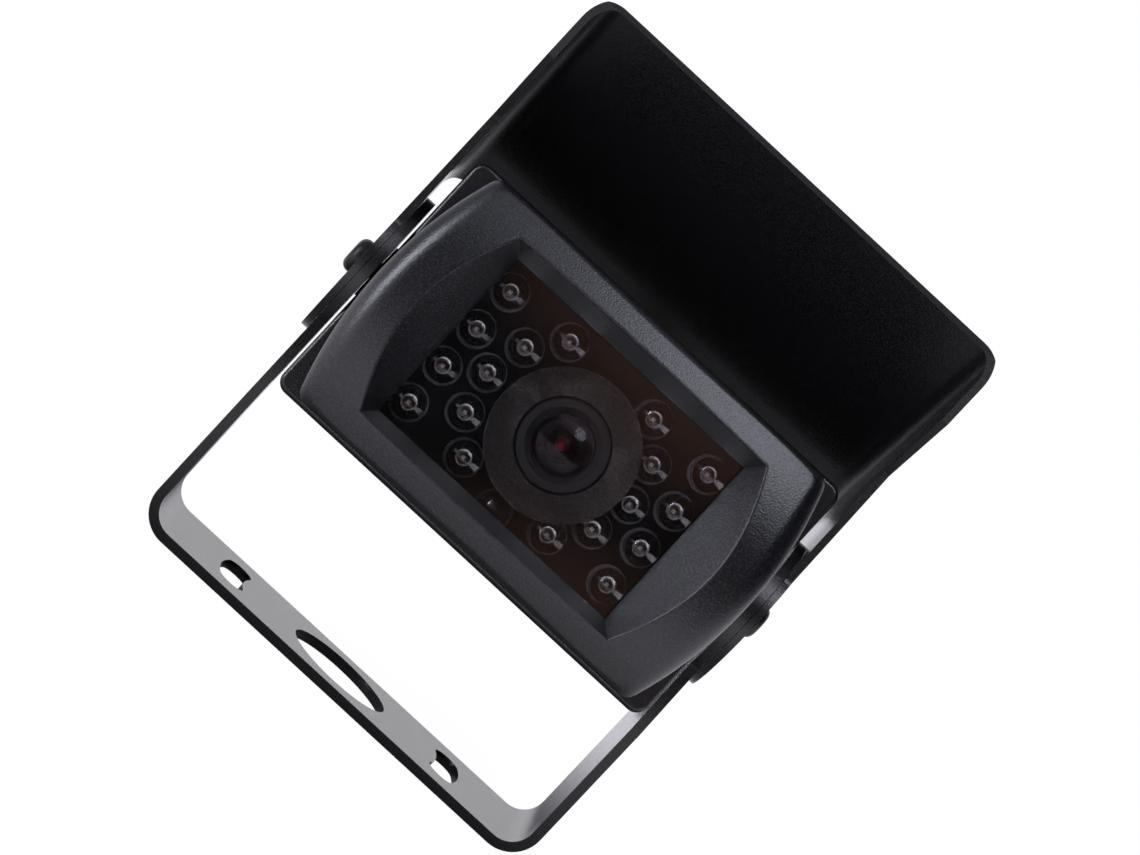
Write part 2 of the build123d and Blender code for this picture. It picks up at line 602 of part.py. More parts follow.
bezel_screws = pan_screw(
    corner_places(BEZEL_SCREW_X, BEZEL_SCREW_Y),
    HOUSING_WALL_REAR,
    M25_RADIUS,
    HOUSING_FRONT_WALL + BEZEL_GASKET + BEZEL_SCREW_DEPTH - FIT_GAP,
    M25_HEAD_RADIUS,
    M25_HEAD_HEIGHT,
)
bezel_screws.part.label = "bezel_screws"
export_step(bezel_screws.part, "parts/bezel_screws.step")

# ---------------------------------------------------------------- rear cover

with BuildPart() as rear_cover:
    with BuildSketch(HEAD.offset(HEAD_REAR)):
        RectangleRounded(HEAD_WIDTH, HEAD_HEIGHT, HEAD_CORNER)
    extrude(amount=COVER_THICKNESS)
    fillet(rear_cover.faces().sort_by(HEAD_AXIS)[0].edges(), radius=HOUSING_EDGE)
    with BuildSketch(HEAD.offset(HEAD_REAR)):
        Circle(GLAND_THREAD_RADIUS + FIT_GAP)
    extrude(amount=COVER_THICKNESS, mode=Mode.SUBTRACT)
    with Locations(Plane(HEAD.offset(HEAD_REAR).origin, HEAD.x_dir, -HEAD.z_dir)):
        with Locations(*corner_places(COVER_SCREW_X, COVER_SCREW_Y)):
            CounterSinkHole(
                radius=M25_RADIUS + SCREW_CLEARANCE,
                counter_sink_radius=M25_HEAD_RADIUS + FIT_GAP,
                depth=COVER_THICKNESS,
            )

rear_cover.part.label = "rear_cover"
export_step(rear_cover.part, "parts/rear_cover.step")

with BuildPart() as cover_gasket:
    with BuildSketch(HEAD.offset(COVER_FRONT)):
        RectangleRounded(
            HEAD_WIDTH - 2 * GASKET_INSET, HEAD_HEIGHT - 2 * GASKET_INSET, HEAD_CORNER
        )
        RectangleRounded(CAVITY_WIDTH, CAVITY_HEIGHT, HEAD_CORNER / 2, mode=Mode.SUBTRACT)
        with Locations(*corner_places(COVER_SCREW_X, COVER_SCREW_Y)):
            Circle(COVER_BOSS_RADIUS)
        with Locations(*corner_places(COVER_SCREW_X, COVER_SCREW_Y)):
            Circle(M25_RADIUS + SCREW_CLEARANCE, mode=Mode.SUBTRACT)
    extrude(amount=GASKET_THICKNESS)

cover_gasket.part.label = "cover_gasket"
export_step(cover_gasket.part, "parts/cover_gasket.step")

COUNTERSINK_DEPTH = M25_HEAD_RADIUS - M25_RADIUS     # 90 degree head
with BuildPart() as rear_cover_screws:
    for place in corner_places(COVER_SCREW_X, COVER_SCREW_Y):
        with BuildSketch(section_plane(HEAD, *place)):
            with BuildLine():
                Polyline(
                    (0, HEAD_REAR),
                    (M25_HEAD_RADIUS, HEAD_REAR),
                    (M25_RADIUS, HEAD_REAR + COUNTERSINK_DEPTH),
                    (M25_RADIUS, HOUSING_REAR + COVER_SCREW_DEPTH - FIT_GAP),
                    (0, HOUSING_REAR + COVER_SCREW_DEPTH - FIT_GAP),
                    close=True,
                )
            make_face()
        revolve(axis=Axis(section_plane(HEAD, *place).origin, HEAD.z_dir))
    with BuildSketch(HEAD.offset(HEAD_REAR)):
        with Locations(*corner_places(COVER_SCREW_X, COVER_SCREW_Y)):
            Rectangle(M25_HEAD_RADIUS * CROSS_LENGTH, M25_HEAD_RADIUS * CROSS_WIDTH)
            Rectangle(M25_HEAD_RADIUS * CROSS_WIDTH, M25_HEAD_RADIUS * CROSS_LENGTH)
    extrude(amount=COUNTERSINK_DEPTH, mode=Mode.SUBTRACT)

rear_cover_screws.part.label = "rear_cover_screws"
export_step(rear_cover_screws.part, "parts/rear_cover_screws.step")

# ---------------------------------------------------------------- LED board

with BuildPart() as led_board:
    with BuildSketch(HEAD.offset(LED_BOARD_REAR)):
        RectangleRounded(LED_BOARD_WIDTH, LED_BOARD_HEIGHT, BOARD_CORNER)
        with Locations((LENS_X, LENS_Y)):
            Circle(HOLDER_RADIUS + HOLDER_CLEARANCE, mode=Mode.SUBTRACT)
        with Locations(*corner_places(LED_SCREW_X, LED_SCREW_Y)):
            Circle(M2_RADIUS + SCREW_CLEARANCE, mode=Mode.SUBTRACT)
    extrude(amount=BOARD_THICKNESS)

led_board.part.label = "led_board"
export_step(led_board.part, "parts/led_board.step")

led_board_screws = pan_screw(
    corner_places(LED_SCREW_X, LED_SCREW_Y),
    LED_BOARD_REAR,
    M2_RADIUS,
    BOARD_THICKNESS + BOARD_SCREW_DEPTH,
    M2_HEAD_RADIUS,
    M2_HEAD_HEIGHT,
)
led_board_screws.part.label = "led_board_screws"
export_step(led_board_screws.part, "parts/led_board_screws.step")

# Clear LED bodies: a flange on the board, a round body and a domed top, hollow round the cup
with BuildPart() as ir_led_domes:
    with BuildSketch(HEAD.offset(LED_BOARD_FRONT)):
        with Locations(*LED_PLACES):
            Circle(LED_RADIUS)
    extrude(amount=LED_HEIGHT)
    fillet(ir_led_domes.edges().group_by(HEAD_AXIS)[-1], radius=DOME_ROUND)
    with BuildSketch(HEAD.offset(LED_BOARD_FRONT)):
        with Locations(*LED_PLACES):
            Circle(LED_FLANGE_RADIUS)
    extrude(amount=LED_FLANGE_HEIGHT)
    with BuildSketch(HEAD.offset(LED_BOARD_FRONT)):
        with Locations(*LED_PLACES):
            Circle(LED_CUP_RADIUS + FIT_GAP)
    extrude(amount=LED_CUP_HEIGHT + FIT_GAP, mode=Mode.SUBTRACT)

ir_led_domes.part.label = "ir_led_domes"
export_step(ir_led_domes.part, "parts/ir_led_domes.step")

# Each LED's metal lead frame, ending in the reflector cup that holds the die
with BuildPart() as ir_led_cups:
    with BuildSketch(HEAD.offset(LED_BOARD_FRONT)):
        with Locations(*LED_PLACES):
            Circle(LED_CUP_RADIUS)
    extrude(amount=LED_CUP_HEIGHT)
    with BuildSketch(HEAD.offset(LED_BOARD_FRONT + LED_CUP_HEIGHT)):
        with Locations(*LED_PLACES):
            Circle(LED_CUP_MOUTH_RADIUS)
    extrude(amount=-LED_CUP_DEPTH, taper=LED_CUP_TAPER, mode=Mode.SUBTRACT)

ir_led_cups.part.label = "ir_led_cups"
export_step(ir_led_cups.part, "parts/ir_led_cups.step")

with BuildPart() as light_sensor:
    with BuildSketch(HEAD.offset(LED_BOARD_FRONT)):
        with Locations((0, SENSOR_DOME_Y)):
            Circle(LED_RADIUS)
    extrude(amount=SENSOR_DOME_HEIGHT)
    fillet(light_sensor.edges().group_by(HEAD_AXIS)[-1], radius=DOME_ROUND)
    with BuildSketch(HEAD.offset(LED_BOARD_FRONT)):
        with Locations((0, SENSOR_DOME_Y)):
            Circle(LED_FLANGE_RADIUS)
    extrude(amount=LED_FLANGE_HEIGHT)

light_sensor.part.label = "light_sensor"
export_step(light_sensor.part, "parts/light_sensor.step")

# ---------------------------------------------------------------- lens and its holder


def turned(section, axis, points):
    """Solid of revolution from (radius, forward) points on a section plane."""
    with BuildPart() as solid:
        with BuildSketch(section):
            with BuildLine():
                Polyline(*points, close=True)
            make_face()
        revolve(axis=axis)
    return solid


LENS_SHOULDER = LENS_FRONT - LENS_HEAD_LENGTH
ELEMENT_FRONT = LENS_FRONT - ELEMENT_SETBACK
CONE_FRONT = ELEMENT_FRONT - ELEMENT_THICKNESS
CONE_REAR = CONE_FRONT - CONE_DEPTH
REAR_ELEMENT_RADIUS = LENS_PUPIL_RADIUS + REAR_ELEMENT_SEAT
REAR_STEP = LENS_REAR + REAR_ELEMENT_THICKNESS

# Threaded barrel: wide head, narrow thread, and a stepped bore for the glass
lens_barrel = turned(
    LENS_SECTION,
    LENS_AXIS,
    [
        (LENS_MOUTH_RADIUS, LENS_FRONT - LENS_MOUTH_DEPTH),
        (LENS_MOUTH_RADIUS + LENS_MOUTH_DEPTH, LENS_FRONT),
        (LENS_HEAD_RADIUS - LENS_HEAD_CHAMFER, LENS_FRONT),
        (LENS_HEAD_RADIUS, LENS_FRONT - LENS_HEAD_CHAMFER),
        (LENS_HEAD_RADIUS, LENS_SHOULDER),
        (LENS_THREAD_RADIUS, LENS_SHOULDER),
        (LENS_THREAD_RADIUS, LENS_REAR),
        (REAR_ELEMENT_RADIUS, LENS_REAR),
        (REAR_ELEMENT_RADIUS, REAR_STEP),
        (LENS_PUPIL_RADIUS, REAR_STEP),
        (LENS_PUPIL_RADIUS, CONE_REAR),
        (LENS_MOUTH_RADIUS, CONE_REAR),
    ],
)
lens_barrel.part.label = "lens_barrel"
export_step(lens_barrel.part, "parts/lens_barrel.step")

# Black cone that spaces the glass and stops stray light
lens_baffle = turned(
    LENS_SECTION,
    LENS_AXIS,
    [
        (LENS_MOUTH_RADIUS - FIT_GAP, CONE_REAR),
        (LENS_MOUTH_RADIUS - FIT_GAP, CONE_FRONT),
        (LENS_MOUTH_RADIUS - 2 * FIT_GAP - BAFFLE_RIM, CONE_FRONT),
        (LENS_PUPIL_RADIUS, CONE_REAR),
    ],
)
lens_baffle.part.label = "lens_baffle"
export_step(lens_baffle.part, "parts/lens_baffle.step")

# Domed front glass
with BuildPart() as lens_front_element:
    with BuildSketch(LENS_SECTION):
        with Locations((0, ELEMENT_FRONT - ELEMENT_RADIUS)):
            Circle(ELEMENT_RADIUS)
        with Locations((0, CONE_FRONT)):
            Rectangle(
                LENS_MOUTH_RADIUS - FIT_GAP,
                2 * ELEMENT_THICKNESS,
                align=(Align.MIN, Align.MIN),
                mode=Mode.INTERSECT,
            )
    revolve(axis=LENS_AXIS)

lens_front_element.part.label = "lens_front_element"
export_step(lens_front_element.part, "parts/lens_front_element.step")

lens_rear_element = turned(
    LENS_SECTION,
    LENS_AXIS,
    [
        (0, LENS_REAR + FIT_GAP),
        (REAR_ELEMENT_RADIUS - FIT_GAP, LENS_REAR + FIT_GAP),
        (REAR_ELEMENT_RADIUS - FIT_GAP, REAR_STEP),
        (0, REAR_STEP),
    ],
)
lens_rear_element.part.label = "lens_rear_element"
export_step(lens_rear_element.part, "parts/lens_rear_element.step")

with BuildPart() as lens_holder:
    with BuildSketch(HEAD.offset(SENSOR_BOARD_FRONT)):
        with Locations((LENS_X, LENS_Y)):
            RectangleRounded(HOLDER_BASE, HOLDER_BASE, HOLDER_CORNER)
    extrude(amount=HOLDER_BASE_THICKNESS)
    with BuildSketch(HEAD.offset(SENSOR_BOARD_FRONT)):
        with Locations((LENS_X, LENS_Y)):
            Circle(HOLDER_RADIUS)
    extrude(amount=HOLDER_FRONT - SENSOR_BOARD_FRONT)
    with BuildSketch(HEAD.offset(SENSOR_BOARD_FRONT)):
        with Locations((LENS_X, LENS_Y)):
            Circle(LENS_THREAD_RADIUS + BORE_CLEARANCE)
    extrude(amount=HOLDER_FRONT - SENSOR_BOARD_FRONT, mode=Mode.SUBTRACT)

lens_holder.part.label = "lens_holder"
export_step(lens_holder.part, "parts/lens_holder.step")

# Soft ring pressed against the back of the glass, which keeps LED light out of the lens.
# It covers the edges of the nearest LEDs, which stand in notches in its back.
with BuildPart() as foam_ring:
    with BuildSketch(HEAD.offset(FOAM_REAR)):
        with Locations((LENS_X, LENS_Y)):
            Circle(FOAM_RADIUS)
            Circle(LENS_HEAD_RADIUS + FIT_GAP, mode=Mode.SUBTRACT)
    extrude(amount=GLASS_REAR - FOAM_REAR)
    with BuildSketch(HEAD.offset(LED_BOARD_FRONT)):
        with Locations((0, SENSOR_DOME_Y), *LED_PLACES):
            Circle(LED_RADIUS + FIT_GAP)
    extrude(amount=LED_HEIGHT + FIT_GAP, mode=Mode.SUBTRACT)

foam_ring.part.label = "foam_ring"
export_step(foam_ring.part, "parts/foam_ring.step")

# ---------------------------------------------------------------- sensor board

with BuildPart() as sensor_board:
    with BuildSketch(HEAD.offset(SENSOR_BOARD_REAR)):
        RectangleRounded(SENSOR_BOARD_WIDTH, SENSOR_BOARD_HEIGHT, BOARD_CORNER)
        with Locations(*corner_places(STANDOFF_X, STANDOFF_Y)):
            Circle(M2_RADIUS + SCREW_CLEARANCE, mode=Mode.SUBTRACT)
    extrude(amount=BOARD_THICKNESS)

sensor_board.part.label = "sensor_board"
export_step(sensor_board.part, "parts/sensor_board.step")

with BuildPart() as image_sensor:
    with BuildSketch(HEAD.offset(SENSOR_BOARD_FRONT)):
        with Locations((LENS_X, LENS_Y)):
            Rectangle(IMAGE_SENSOR_WIDTH, IMAGE_SENSOR_HEIGHT)
    extrude(amount=IMAGE_SENSOR_THICKNESS)

image_sensor.part.label = "image_sensor"
export_step(image_sensor.part, "parts/image_sensor.step")

with BuildPart() as board_standoffs:
    with BuildSketch(HEAD.offset(SENSOR_BOARD_FRONT)):
        with Locations(*corner_places(STANDOFF_X, STANDOFF_Y)):
            RegularPolygon(STANDOFF_RADIUS, 6)
            Circle(M2_RADIUS + BORE_CLEARANCE, mode=Mode.SUBTRACT)
    extrude(amount=STANDOFF_LENGTH)

board_standoffs.part.label = "board_standoffs"
export_step(board_standoffs.part, "parts/board_standoffs.step")

sensor_board_screws = pan_screw(
    corner_places(STANDOFF_X, STANDOFF_Y),
    SENSOR_BOARD_REAR,
    M2_RADIUS,
    BOARD_THICKNESS + BOARD_SCREW_DEPTH,
    M2_HEAD_RADIUS,
    M2_HEAD_HEIGHT,
)
sensor_board_screws.part.label = "sensor_board_screws"
export_step(sensor_board_screws.part, "parts/sensor_board_screws.step")

# Wire connector on the back of the sensor board, open to the rear
with BuildPart() as cable_connector:
    with BuildSketch(HEAD.offset(SENSOR_BOARD_REAR - CONNECTOR_HEIGHT)):
        with Locations((0, CONNECTOR_Y)):
            Rectangle(CONNECTOR_WIDTH, CONNECTOR_DEPTH)
    extrude(amount=CONNECTOR_HEIGHT)
    with BuildSketch(HEAD.offset(SENSOR_BOARD_REAR - CONNECTOR_HEIGHT)):
        with Locations((0, CONNECTOR_Y)):
            Rectangle(CONNECTOR_WIDTH - 2 * CONNECTOR_WALL, CONNECTOR_DEPTH - 2 * CONNECTOR_WALL)
    extrude(amount=CONNECTOR_HEIGHT - CONNECTOR_WALL, mode=Mode.SUBTRACT)

cable_connector.part.label = "cable_connector"
export_step(cable_connector.part, "parts/cable_connector.step")

# Pin header that joins the two boards
with BuildPart() as board_header:
    with BuildSketch(HEAD.offset(SENSOR_BOARD_FRONT)):
        with Locations((0, HEADER_Y)):
            Rectangle(HEADER_WIDTH, HEADER_DEPTH)
    extrude(amount=STANDOFF_LENGTH)

board_header.part.label = "board_header"
export_step(board_header.part, "parts/board_header.step")

# ---------------------------------------------------------------- pivot hardware


def pivot_screw(end):
    """Button-head screw with a hexagon socket, along the pivot axis on one side."""
    with BuildPart() as screw:
        with BuildSketch(side_plane(end * SCREW_TIP)):
            Circle(PIVOT_SCREW_RADIUS)
        extrude(amount=PIVOT_SCREW_LENGTH)
        with BuildSketch(side_plane(end * SCREW_HEAD_SEAT)):
            Circle(PIVOT_HEAD_RADIUS)
        extrude(amount=PIVOT_HEAD_HEIGHT)
        rim = screw.faces().sort_by(Axis.X)[-1 if end > 0 else 0].edges()
        fillet(rim, radius=PIVOT_HEAD_ROUND)
        with BuildSketch(side_plane(end * (SCREW_HEAD_SEAT + PIVOT_HEAD_HEIGHT))):
            RegularPolygon(PIVOT_SOCKET / 2, 6, major_radius=False)
        extrude(amount=-PIVOT_SOCKET_DEPTH, mode=Mode.SUBTRACT)
    return screw


left_pivot_screw = pivot_screw(-1)
left_pivot_screw.part.label = "left_pivot_screw"
export_step(left_pivot_screw.part, "parts/left_pivot_screw.step")

right_pivot_screw = pivot_screw(1)
right_pivot_screw.part.label = "right_pivot_screw"
export_step(right_pivot_screw.part, "parts/right_pivot_screw.step")

with BuildPart() as pivot_inserts:
    for end in SIDES:
        with BuildSketch(side_plane(end * INSERT_INSIDE)):
            Circle(INSERT_RADIUS)
            Circle(PIVOT_SCREW_RADIUS + BORE_CLEARANCE, mode=Mode.SUBTRACT)
        extrude(amount=INSERT_LENGTH)

pivot_inserts.part.label = "pivot_inserts"
export_step(pivot_inserts.part, "parts/pivot_inserts.step")

with BuildPart() as friction_washers:
    for end in SIDES:
        with BuildSketch(side_plane(end * HEAD_WIDTH / 2)):
            Circle(WASHER_RADIUS)
            Circle(PIVOT_SCREW_RADIUS + PIVOT_CLEARANCE, mode=Mode.SUBTRACT)
        extrude(amount=WASHER_THICKNESS)

friction_washers.part.label = "friction_washers"
export_step(friction_washers.part, "parts/friction_washers.step")

# ---------------------------------------------------------------- cable gland

GLAND_SEAT = HEAD_REAR
NECK_REAR = GLAND_SEAT - GLAND_FLANGE - GLAND_NECK
LOCK_NUT_FRONT = COVER_FRONT + LOCK_NUT_THICKNESS

with BuildPart() as cable_gland:
    with BuildSketch(HEAD.offset(GLAND_SEAT)):
        RegularPolygon(GLAND_HEX / 2, 6, major_radius=False)
    extrude(amount=-GLAND_FLANGE)
    with BuildSketch(HEAD.offset(NECK_REAR)):
        Circle(GLAND_THREAD_RADIUS)
    extrude(amount=LOCK_NUT_FRONT - NECK_REAR)
    with BuildSketch(HEAD.offset(NECK_REAR)):
        Circle(GLAND_BORE_RADIUS)
    extrude(amount=LOCK_NUT_FRONT - NECK_REAR, mode=Mode.SUBTRACT)

cable_gland.part.label = "cable_gland"
export_step(cable_gland.part, "parts/cable_gland.step")

with BuildPart() as gland_lock_nut:
    with BuildSketch(HEAD.offset(COVER_FRONT)):
        RegularPolygon(GLAND_HEX / 2, 6, major_radius=False)
        Circle(GLAND_THREAD_RADIUS + BORE_CLEARANCE, mode=Mode.SUBTRACT)
    extrude(amount=LOCK_NUT_THICKNESS)

gland_lock_nut.part.label = "gland_lock_nut"
export_step(gland_lock_nut.part, "parts/gland_lock_nut.step")

# Rubber sleeve in the gland's bore, which grips the cable
gland_seal = turned(
    GLAND_SECTION,
    HEAD_AXIS,
    [
        (CABLE_RADIUS, NECK_REAR),
        (GLAND_BORE_RADIUS - BORE_CLEARANCE, NECK_REAR),
        (GLAND_BORE_RADIUS - BORE_CLEARANCE, NECK_REAR + SEAL_LENGTH),
        (CABLE_RADIUS, NECK_REAR + SEAL_LENGTH),
    ],
)
gland_seal.part.label = "gland_seal"
export_step(gland_seal.part, "parts/gland_seal.step")

# Domed nut that squeezes the seal
CAP_FRONT = GLAND_SEAT - GLAND_FLANGE - FIT_GAP
CAP_REAR = CAP_FRONT - GLAND_CAP_LENGTH
gland_cap_nut = turned(
    GLAND_SECTION,
    HEAD_AXIS,
    [
        (GLAND_THREAD_RADIUS + BORE_CLEARANCE, CAP_FRONT),
        (GLAND_CAP_RADIUS, CAP_FRONT),
        (GLAND_CAP_RADIUS, CAP_REAR + GLAND_CAP_TAPER),
        (GLAND_CAP_RADIUS - GLAND_CAP_TAPER / 2, CAP_REAR),
        (CABLE_RADIUS + CAP_HOLE_GAP, CAP_REAR),
        (CABLE_RADIUS + CAP_HOLE_GAP, NECK_REAR - FIT_GAP),
        (GLAND_THREAD_RADIUS + BORE_CLEARANCE, NECK_REAR - FIT_GAP),
    ],
)
gland_cap_nut.part.label = "gland_cap_nut"
export_step(gland_cap_nut.part, "parts/gland_cap_nut.step")
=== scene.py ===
"""Studio picture of a reversing camera: materials, fine detail, light and camera.

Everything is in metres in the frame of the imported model: +X to the right of the lens, the
lens looks along -Y, +Z up, and the bracket stands on the floor at z = 0.
"""
import json
import math

import bmesh
import bpy
from mathutils import Matrix, Vector


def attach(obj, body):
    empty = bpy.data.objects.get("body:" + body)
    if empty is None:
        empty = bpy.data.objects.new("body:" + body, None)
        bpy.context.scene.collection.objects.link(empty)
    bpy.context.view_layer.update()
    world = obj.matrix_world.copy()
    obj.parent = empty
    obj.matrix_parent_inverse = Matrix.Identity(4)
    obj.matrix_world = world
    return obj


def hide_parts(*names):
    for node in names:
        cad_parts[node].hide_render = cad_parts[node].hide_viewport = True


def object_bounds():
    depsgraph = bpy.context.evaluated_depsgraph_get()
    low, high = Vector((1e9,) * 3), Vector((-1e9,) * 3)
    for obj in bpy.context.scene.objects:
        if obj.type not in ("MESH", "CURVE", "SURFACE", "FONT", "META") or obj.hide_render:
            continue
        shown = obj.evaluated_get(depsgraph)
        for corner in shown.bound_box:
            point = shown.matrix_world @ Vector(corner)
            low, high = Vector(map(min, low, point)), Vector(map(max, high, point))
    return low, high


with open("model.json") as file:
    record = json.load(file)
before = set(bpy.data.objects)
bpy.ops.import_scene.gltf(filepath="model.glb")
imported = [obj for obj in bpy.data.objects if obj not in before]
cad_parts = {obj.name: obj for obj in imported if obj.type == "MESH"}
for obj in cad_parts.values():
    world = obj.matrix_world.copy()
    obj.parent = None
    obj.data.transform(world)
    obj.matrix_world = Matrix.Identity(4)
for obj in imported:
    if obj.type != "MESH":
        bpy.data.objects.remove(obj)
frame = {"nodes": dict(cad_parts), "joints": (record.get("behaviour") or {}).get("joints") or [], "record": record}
CAD_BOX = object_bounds()

NODES = frame["nodes"]
MM = 0.001

# ------------------------------------------------------------------ axes taken from the frame

PIVOT = Vector(frame["joints"][0]["pos_m"])
MOUNTS = {mount["name"]: mount for mount in frame["record"]["mounts"]}
SIDEWAYS = Vector((1, 0, 0))
HEAD_FORWARD = -Vector(MOUNTS["cable_outlet"]["axis"]).normalized()
HEAD_UP = HEAD_FORWARD.cross(SIDEWAYS)
HEAD = Matrix.Translation(PIVOT) @ Matrix((SIDEWAYS, HEAD_UP, HEAD_FORWARD)).transposed().to_4x4()


def head_extent(node, axis):
    """Lowest and highest place of a node along one axis of the head, in metres from the pivot."""
    direction = (SIDEWAYS, HEAD_UP, HEAD_FORWARD)[axis]
    places = [(vertex.co - PIVOT).dot(direction) for vertex in NODES[node].data.vertices]
    return min(places), max(places)


# ------------------------------------------------------------------ node tools


class Shader:
    """One material, built node by node, whose surface is a Principled shader."""

    def __init__(self, name, color, roughness, metallic=0.0, **sockets):
        self.material = bpy.data.materials.new(name)
        self.material.use_nodes = True
        self.tree = self.material.node_tree
        self.surface = self.tree.nodes["Principled BSDF"]
        self.set(base_color=(*color, 1.0), roughness=roughness, metallic=metallic, **sockets)

    def set(self, **sockets):
        for key, value in sockets.items():
            name = key.replace("_", " ").title().replace("Ior", "IOR")
            self.surface.inputs[name].default_value = value

    def node(self, kind, **values):
        made = self.tree.nodes.new(kind)
        for key, value in values.items():
            if key in made.inputs:
                made.inputs[key].default_value = value
            else:
                setattr(made, key, value)
        return made

    def link(self, source, target):
        self.tree.links.new(source, target)
        return source

    def place(self):
        """Object coordinates, in metres."""
        return self.node("ShaderNodeTexCoord").outputs["Object"]

    def noise(self, size, detail=4.0, roughness=0.6, distortion=0.0):
        """Noise with grains of about that size, from 0 to 1."""
        made = self.node(
            "ShaderNodeTexNoise",
            Scale=1.0 / size,
            Detail=detail,
            Roughness=roughness,
            Distortion=distortion,
        )
        self.link(self.place(), made.inputs["Vector"])
        return made.outputs["Fac"]

    def cells(self, size):
        """Distance from the nearest of scattered points about that far apart."""
        made = self.node("ShaderNodeTexVoronoi", Scale=1.0 / size)
        self.link(self.place(), made.inputs["Vector"])
        return made.outputs["Distance"]

    def ramp(self, value, low, high, start=0.3, end=0.7):
        """A number or a colour that runs from low to high as value runs from start to end."""
        if isinstance(low, tuple):
            made = self.node("ShaderNodeValToRGB")
            self.link(value, made.inputs["Fac"])
            first, last = made.color_ramp.elements
            first.position, last.position = start, end
            first.color, last.color = (*low, 1.0), (*high, 1.0)
            return made.outputs["Color"]
        made = self.node("ShaderNodeMapRange")
        self.link(value, made.inputs["Value"])
        for key, number in (("From Min", start), ("From Max", end), ("To Min", low), ("To Max", high)):
            made.inputs[key].default_value = number
        return made.outputs["Result"]

    def math(self, operation, first, second):
        made = self.node("ShaderNodeMath", operation=operation)
        for index, value in enumerate((first, second)):
            if isinstance(value, (int, float)):
                made.inputs[index].default_value = value
            else:
                self.link(value, made.inputs[index])
        return made.outputs["Value"]

    def bump(self, height, depth, strength=1.0, under=None):
        """Relief of that depth in metres, on top of any relief under it."""
        made = self.node("ShaderNodeBump", Strength=strength, Distance=depth)
        self.link(height, made.inputs["Height"])
        if under is not None:
            self.link(under, made.inputs["Normal"])
        return made.outputs["Normal"]

    def paint(self, socket, value):
        self.link(value, self.surface.inputs[socket])


# ------------------------------------------------------------------ materials


def powder_coat(name, color, roughness, grain, relief, glint_paleness=1.8):
    """Black powder coat: fine pimples painted paler at their peaks as glints, and a few specks of dust in its
    gloss.
    """
    made = Shader(name, color, roughness, coat_weight=1.0, coat_roughness=0.18)
    made.set(specular_ior_level=0.2)
    pimples = made.noise(grain, detail=3.0, roughness=0.65)
    dust = made.cells(3.4 * MM)
    # Painted highlight: the pimples' peaks are painted paler than the coat, standing in for the glints of light on
    # the grain.
    glint_tips = tuple(channel * (1.0 + glint_paleness) for channel in color)
    made.paint("Base Color", made.ramp(pimples, color, glint_tips, start=0.46, end=0.64))
    rough = made.ramp(pimples, roughness - 0.07, roughness + 0.09)
    dusty = made.ramp(dust, 0.25, 0.0, start=0.02, end=0.05)
    made.paint("Roughness", made.math("ADD", rough, dusty))
    orange_peel = made.bump(made.noise(grain * 5, detail=1.0), relief, strength=0.10)
    relieved = made.bump(pimples, relief, under=orange_peel)
    made.paint("Normal", relieved)
    made.paint("Coat Normal", relieved)
    return made


def smooth_plastic(name, color, roughness, **sockets):
    """Moulded or turned parts: a soft unevenness in gloss and a very fine grain."""
    made = Shader(name, color, roughness, **sockets)
    clouds = made.noise(6 * MM, detail=4.0)
    grain = made.noise(0.12 * MM, detail=2.0)
    made.paint("Roughness", made.ramp(clouds, roughness - 0.06, roughness + 0.06))
    light = tuple(channel * 1.3 + 0.001 for channel in color)
    made.paint("Base Color", made.ramp(clouds, color, light))
    made.paint("Normal", made.bump(grain, 0.004 * MM, strength=0.5))
    return made


def metal(name, color, roughness, grain=0.08 * MM, **sockets):
    """Plated or machined metal with fine marks."""
    made = Shader(name, color, roughness, metallic=1.0, **sockets)
    marks = made.noise(grain, detail=3.0)
    stains = made.noise(1.6 * MM, detail=3.0)
    made.paint("Roughness", made.ramp(marks, roughness - 0.08, roughness + 0.12))
    dull = tuple(channel * 0.72 for channel in color)
    made.paint("Base Color", made.ramp(stains, dull, color))
    made.paint("Normal", made.bump(marks, 0.003 * MM, strength=0.6))
    return made


def clear(name, color, ior, roughness=0.0, smudge=0.0, **sockets):
    """Glass or clear resin, with faint smears in its polish."""
    made = Shader(name, color, roughness, transmission_weight=1.0, ior=ior, **sockets)
    smears = made.noise(9 * MM, detail=5.0, distortion=0.6)
    made.paint("Roughness", made.ramp(smears, roughness, roughness + smudge, start=0.45, end=0.75))
    ripple = made.noise(4 * MM, detail=1.0)
    made.paint("Normal", made.bump(ripple, 0.002 * MM, strength=0.2))
    return made


def foam_rubber():
    """Closed-cell foam: open pores at its cut face, and a felt-like dull surface."""
    made = Shader("foam", (0.050, 0.048, 0.048), 0.95, sheen_weight=0.25, sheen_roughness=0.6)
    pores = made.cells(0.32 * MM)
    fibres = made.noise(0.18 * MM, detail=4.0)
    mottle = made.noise(0.45 * MM, detail=3.0)
    made.paint("Base Color", made.ramp(mottle, (0.050, 0.040, 0.037), (0.105, 0.086, 0.080)))
    rough = made.bump(fibres, 0.05 * MM)
    made.paint("Normal", made.bump(pores, 0.10 * MM, under=rough))
    return made


def circuit_board():
    """Matte black solder mask with a faint unevenness."""
    made = Shader("circuit_board", (0.0025, 0.0027, 0.0026), 0.5, specular_ior_level=0.25)
    clouds = made.noise(5 * MM, detail=4.0)
    made.paint("Base Color", made.ramp(clouds, (0.0018, 0.0020, 0.0019), (0.0034, 0.0036, 0.0034)))
    made.paint("Roughness", made.ramp(clouds, 0.45, 0.58))
    made.paint("Normal", made.bump(made.noise(0.3 * MM), 0.01 * MM, strength=0.4))
    return made


def soft_rubber():
    """Black rubber with a faint bloom and a fine grain."""
    made = Shader("rubber", (0.010, 0.010, 0.010), 0.75)
    bloom = made.noise(3 * MM, detail=5.0)
    made.paint("Base Color", made.ramp(bloom, (0.008, 0.008, 0.008), (0.018, 0.018, 0.017)))
    made.paint("Normal", made.bump(made.noise(0.25 * MM), 0.012 * MM))
    return made


